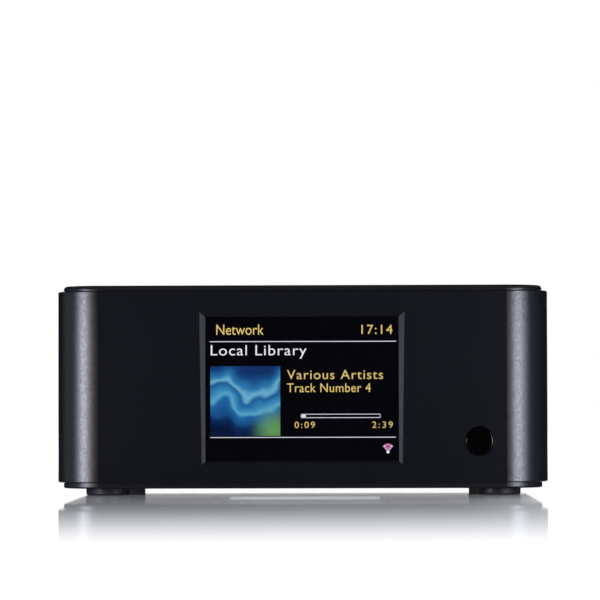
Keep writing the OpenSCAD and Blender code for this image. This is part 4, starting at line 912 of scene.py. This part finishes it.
# %% Cover picture: glow and plate
GLOW_AT, GLOW_GREEN, GLOW_REACH, GLOW_SHARE = (0.42, 0, -0.42), (112, 172, 96), (0.02, 0.4), 0.8
TILE_ROUND = 0.15
flat = node(tree, "ShaderNodeCombineXYZ")
join(tree, across, flat.inputs[0])
join(tree, up, flat.inputs[2])
corner = node(tree, "ShaderNodeVectorMath", operation="DISTANCE")
corner.inputs[1].default_value = GLOW_AT
join(tree, flat.outputs[0], corner.inputs[0])
near = ramp(tree, corner.outputs["Value"], *GLOW_REACH, GLOW_SHARE, 0.0)
join(tree, blend(tree, near, bands.outputs["Color"], light(*GLOW_GREEN), colour=True), shown)
show(film(flat_plate(*TILE, TILE_ROUND)), "cover_picture", picture)

# %% [markdown]
# The remote window is a moulded lens: a disc that fills the hole, with a flange behind it that stops it
# from falling out. A moulding never has a razor edge, and that is what shows: the small round along its rim
# catches a soft box at the left and at the right. So the lens is modelled again here with that round, in
# the place of the plain CAD solid. The flange is drawn out of the back face, and a narrow inset keeps the
# polished front flat up to its rim.

# %% Remote lens
LENS_R, FLANGE, RIM, RIM_INSET = 4.25, 1.0, 0.45, 0.03
LENS_SIDES, RIM_STEPS, SMOOTH_BELOW = 96, 8, 35
STRAIGHT, FEW_SIDES = 0.99, 8
lens_low, lens_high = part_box("ir_window")
lens_mid = (lens_low + lens_high) / 2
disc_deep = lens_high.y - lens_low.y - FLANGE * MM
wider = (lens_high.x - lens_low.x) / 2 / (LENS_R * MM)
start_clean()
bpy.ops.mesh.primitive_cylinder_add(vertices=LENS_SIDES, radius=LENS_R * MM, depth=disc_deep,
                                    rotation=(math.radians(90), 0, 0),
                                    location=(lens_mid.x, lens_low.y + disc_deep / 2, lens_mid.z))
lens = bpy.context.object
bpy.ops.object.transform_apply(location=True, rotation=True, scale=True)


def pick_face(made, y_sign):
    """In edit mode, select only the large face that looks along +Y or -Y."""
    bpy.ops.object.mode_set(mode="EDIT")
    bpy.ops.mesh.select_mode(type="FACE")
    bpy.ops.mesh.select_all(action="DESELECT")
    bpy.ops.object.mode_set(mode="OBJECT")
    for face in made.data.polygons:
        face.select = face.normal.y * y_sign > STRAIGHT and len(face.vertices) > FEW_SIDES
    bpy.ops.object.mode_set(mode="EDIT")


pick_face(lens, 1)
bpy.ops.mesh.extrude_region_move(TRANSFORM_OT_translate={"value": (0, 0, 0)})
flange_middle = (lens_mid.x, lens_high.y - FLANGE * MM, lens_mid.z)
bpy.ops.transform.resize(value=(wider, 1, wider), center_override=flange_middle)
bpy.ops.mesh.extrude_region_move(TRANSFORM_OT_translate={"value": (0, FLANGE * MM, 0)})
pick_face(lens, -1)
bpy.ops.mesh.bevel(offset=RIM * MM, segments=RIM_STEPS, affect="EDGES")
pick_face(lens, -1)
bpy.ops.mesh.inset(thickness=RIM_INSET * MM)
bpy.ops.mesh.select_all(action="SELECT")
bpy.ops.mesh.normals_make_consistent(inside=False)
bpy.ops.object.mode_set(mode="OBJECT")
bpy.ops.object.shade_smooth_by_angle(angle=math.radians(SMOOTH_BELOW))
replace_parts(settle(lens, "remote_lens", "case", finishes["ir_filter"]), "ir_window")

# %% [markdown]
# The host socket at the back has four flat gold contacts on the underside of its white tongue, the middle
# two closer together. One is modelled as a bar with bevelled edges, and then copied, each copy with a mesh
# of its own.

# %% Host socket contacts
CONTACT_WIDE, CONTACT_LONG, CONTACT_THICK, CONTACT_EDGE = 1.0, 7.2, 0.2, 0.05
CONTACT_PLACES, CONTACT_BACK = (-3.5, -1.0, 1.0, 3.5), 4.6
TONGUE_UNDER, CONTACT_DROP = 14.35, 0.09
tongue_low, tongue_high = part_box("usb_tongue")
tongue_x = (tongue_low.x + tongue_high.x) / 2
contact = soft_bar(CONTACT_WIDE, CONTACT_LONG, CONTACT_THICK, CONTACT_EDGE,
                   (0, tongue_high.y - CONTACT_BACK * MM, (TONGUE_UNDER - CONTACT_DROP) * MM))
for order, offset in enumerate(CONTACT_PLACES):
    pick(contact)
    bpy.ops.object.duplicate(linked=False)
    copy = bpy.context.object
    copy.location.x = tongue_x + offset * MM
    settle(copy, "host_contact_%d" % (order + 1), "case", finishes["contact_gold"])
pick(contact)
bpy.ops.object.delete()

# %% [markdown]
# A rocker is marked with a bar for on and a ring for off, printed in white. The rocker's face is a shallow
# V, so each mark is made flat at the origin and then turned and moved on to its half. The marks ride on the
# rocker, and tip over with it.

# %% Rocker marks
print_white = finish("print_white", (222, 222, 220), (206, 206, 204), 0.5, 0.1, 300, 0.2, 0.002)
rocker_joint = [joint for joint in frame["joints"] if joint["child"] == "rocker"][0]
REST_TURN = math.radians(-8)
FACE_MIDDLE, FACE_END, FACE_HALF, MARK_SHARE = 4.4, 5.7, 5.0, 0.56
ON_WIDE, ON_TALL, ON_THICK, ON_EDGE = 0.55, 3.4, 0.06, 0.02
OFF_R, OFF_WIDE, OFF_THICK, OFF_SIDES = 1.7, 0.5, 0.03, 48


def on_rocker(made, side):
    """Move an upright mark that faces +Y from the origin on to the left or right half of the rocker."""
    rise = FACE_END - FACE_MIDDLE
    spot = Vector((side * FACE_HALF * MARK_SHARE, FACE_MIDDLE + rise * MARK_SHARE, 0)) * MM
    spot.rotate(Matrix.Rotation(REST_TURN, 3, "Z"))
    made.rotation_euler = (0, 0, REST_TURN + side * math.atan2(rise, FACE_HALF))
    made.location = Vector(rocker_joint["pos_m"]) + spot
    return made


on_bar = soft_bar(ON_WIDE, ON_THICK, ON_TALL, ON_EDGE)
settle(on_rocker(on_bar, 1), "on_mark", "rocker", print_white)
start_clean()
bpy.ops.mesh.primitive_circle_add(vertices=OFF_SIDES, radius=OFF_R * MM, fill_type="NGON",
                                  rotation=(math.radians(-90), 0, 0))
ring = bpy.context.object
bpy.ops.object.transform_apply(location=False, rotation=True, scale=False)
edit_all()
bpy.ops.mesh.inset(thickness=OFF_WIDE * MM, use_boundary=True)
bpy.ops.mesh.delete(type="FACE")
bpy.ops.mesh.select_all(action="SELECT")
bpy.ops.mesh.extrude_region_move(TRANSFORM_OT_translate={"value": (0, OFF_THICK * MM, 0)})
bpy.ops.object.mode_set(mode="OBJECT")
settle(on_rocker(ring, -1), "off_mark", "rocker", print_white)

# %% [markdown]
# The two analogue sockets are told apart by a printed L and R on the panel beside them. They face
# backwards, so the letters are turned half round about the upright axis.

# %% Channel letters
LETTER_CAP, LETTER_OFF = 3.0, 3.4
panel_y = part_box("rear_panel")[1].y


def printed(words, middle_x, middle_z, cap):
    """A printed letter on the rear panel, centred on a place in mm, with capitals of a height."""
    made = lettering(words, 0, 1, 0, cap)
    tall = made.scale[1]
    made.scale = (tall, tall, FILM * MM)
    made.rotation_euler = (math.radians(90), 0, math.radians(180))
    made.location = (middle_x * MM + sum(extent(made, 0)) / 2 * tall, panel_y + FILM / 4 * MM,
                     (middle_z - cap / 2) * MM)
    return made


for words, node_name in (("L", "phono_insert_left"), ("R", "phono_insert_right")):
    low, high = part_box(node_name)
    mark = printed(words, high.x / MM + LETTER_OFF, (low.z + high.z) / 2 / MM, LETTER_CAP)
    settle(mark, "letter_" + words.lower(), "case", print_white)
